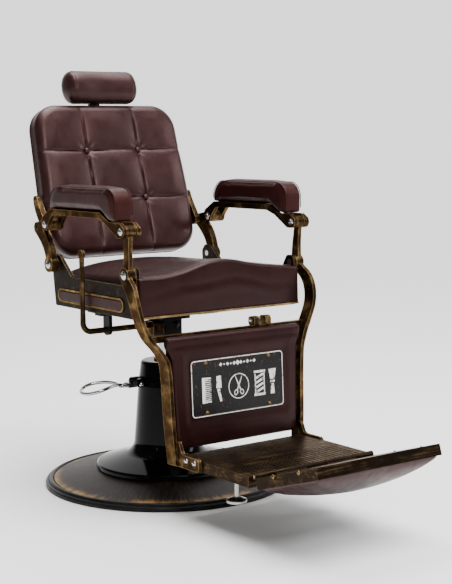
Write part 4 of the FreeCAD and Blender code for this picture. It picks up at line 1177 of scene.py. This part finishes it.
def pin_screws():
    """Bright socket screws in the heads of the pivot pins."""
    for side, sign in SIDES:
        for kind, body, ways in (("seat_pin", "seat", (sign,)), ("arm_pin", f"arm_{side}", (-1, 1))):
            places = []
            for end in ("rear", "front"):
                low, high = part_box(f"{kind}_{end}_{side}")
                middle = (low + high) / 2
                for way in ways:
                    tip = high.x if way > 0 else low.x
                    places.append((np.array((tip - way * 1.6 * MM, middle.y, middle.z)), (way, 0, 0)))
            screws(f"{kind}_screws_{side}", f"{kind}_socket_shades_{side}", places, 6.4 * MM, 3.0 * MM, CHROME,
                   body)


def both_ends(x, spots):
    """Places on the left and the right end at the same (y, z) spots."""
    return [(np.array((sign * x, y, z)), (sign, 0, 0)) for sign in (-1, 1) for y, z in spots]


def foot_bolts():
    """Bright bolt heads on the legs' feet, level with the middle of the footrest."""
    low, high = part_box("platform")
    middle = (low.z + high.z) / 2
    places = both_ends(high.x + 9 * MM, ((-0.398, middle), (-0.434, middle)))
    screws("leg_bolts", "leg_bolt_sockets", places, 7.8 * MM, 4.4 * MM, CHROME, "legrest",
           sunk=0.5 * MM)


def flap_screws():
    """Small screws on both ends of the flap."""
    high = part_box("flap_tray")[1]
    places = both_ends(high.x - 0.2 * MM, ((-0.742, 0.189), (-0.836, 0.218)))
    screws("flap_screws", "flap_screw_sockets", places, 5.6 * MM, 2.6 * MM, BRASS, "flap")


# ---- base and flap
MOULDING_BORE = 30.5 * MM
LOWER_BEAD, UPPER_BEAD = 7.0 * MM, 6.2 * MM


def base_moulding():
    """Double-bead moulding round the base."""
    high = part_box("base_rim")[1]
    outer, top = high.x, high.z
    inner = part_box("base_plate")[1].x + 0.8 * MM
    profile = [(MOULDING_BORE, 0.0), (outer - 3 * MM, 0.0)]
    profile += [(outer - LOWER_BEAD + LOWER_BEAD * cos(a), 7.4 * MM + LOWER_BEAD * sin(a))
                for a in np.radians(np.linspace(-80, 100, 15))]
    profile.append((outer - 9.4 * MM, 12.6 * MM))
    profile += [(outer - 16.0 * MM + UPPER_BEAD * cos(a), top - 6.4 * MM + UPPER_BEAD * sin(a))
                for a in np.radians(np.linspace(-10, 170, 14))]
    profile += [(inner, top - 6 * MM), (inner, 9 * MM), (inner - 22 * MM, 9 * MM), (inner - 22 * MM, 3 * MM),
                (MOULDING_BORE, 3 * MM)]
    rim = lathe("base_moulding", profile, RUBBER, "base", 192)
    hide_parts("base_rim")


def calf_pad():
    """Domed pad under the flap."""
    stuffed("flap_cushion", "flap_pad", BURGUNDY, "flap", voxel=5.0 * MM, tuck=2.0 * MM,
            cap=4.0 * MM)


camera()
studio()
base_moulding()
back_cushion()
back_shell()
headrest()
seat()
side_inlays()
arm_pads()
leg_panel()
plate_motif()
calf_pad()
pin_screws()
foot_bolts()
flap_screws()
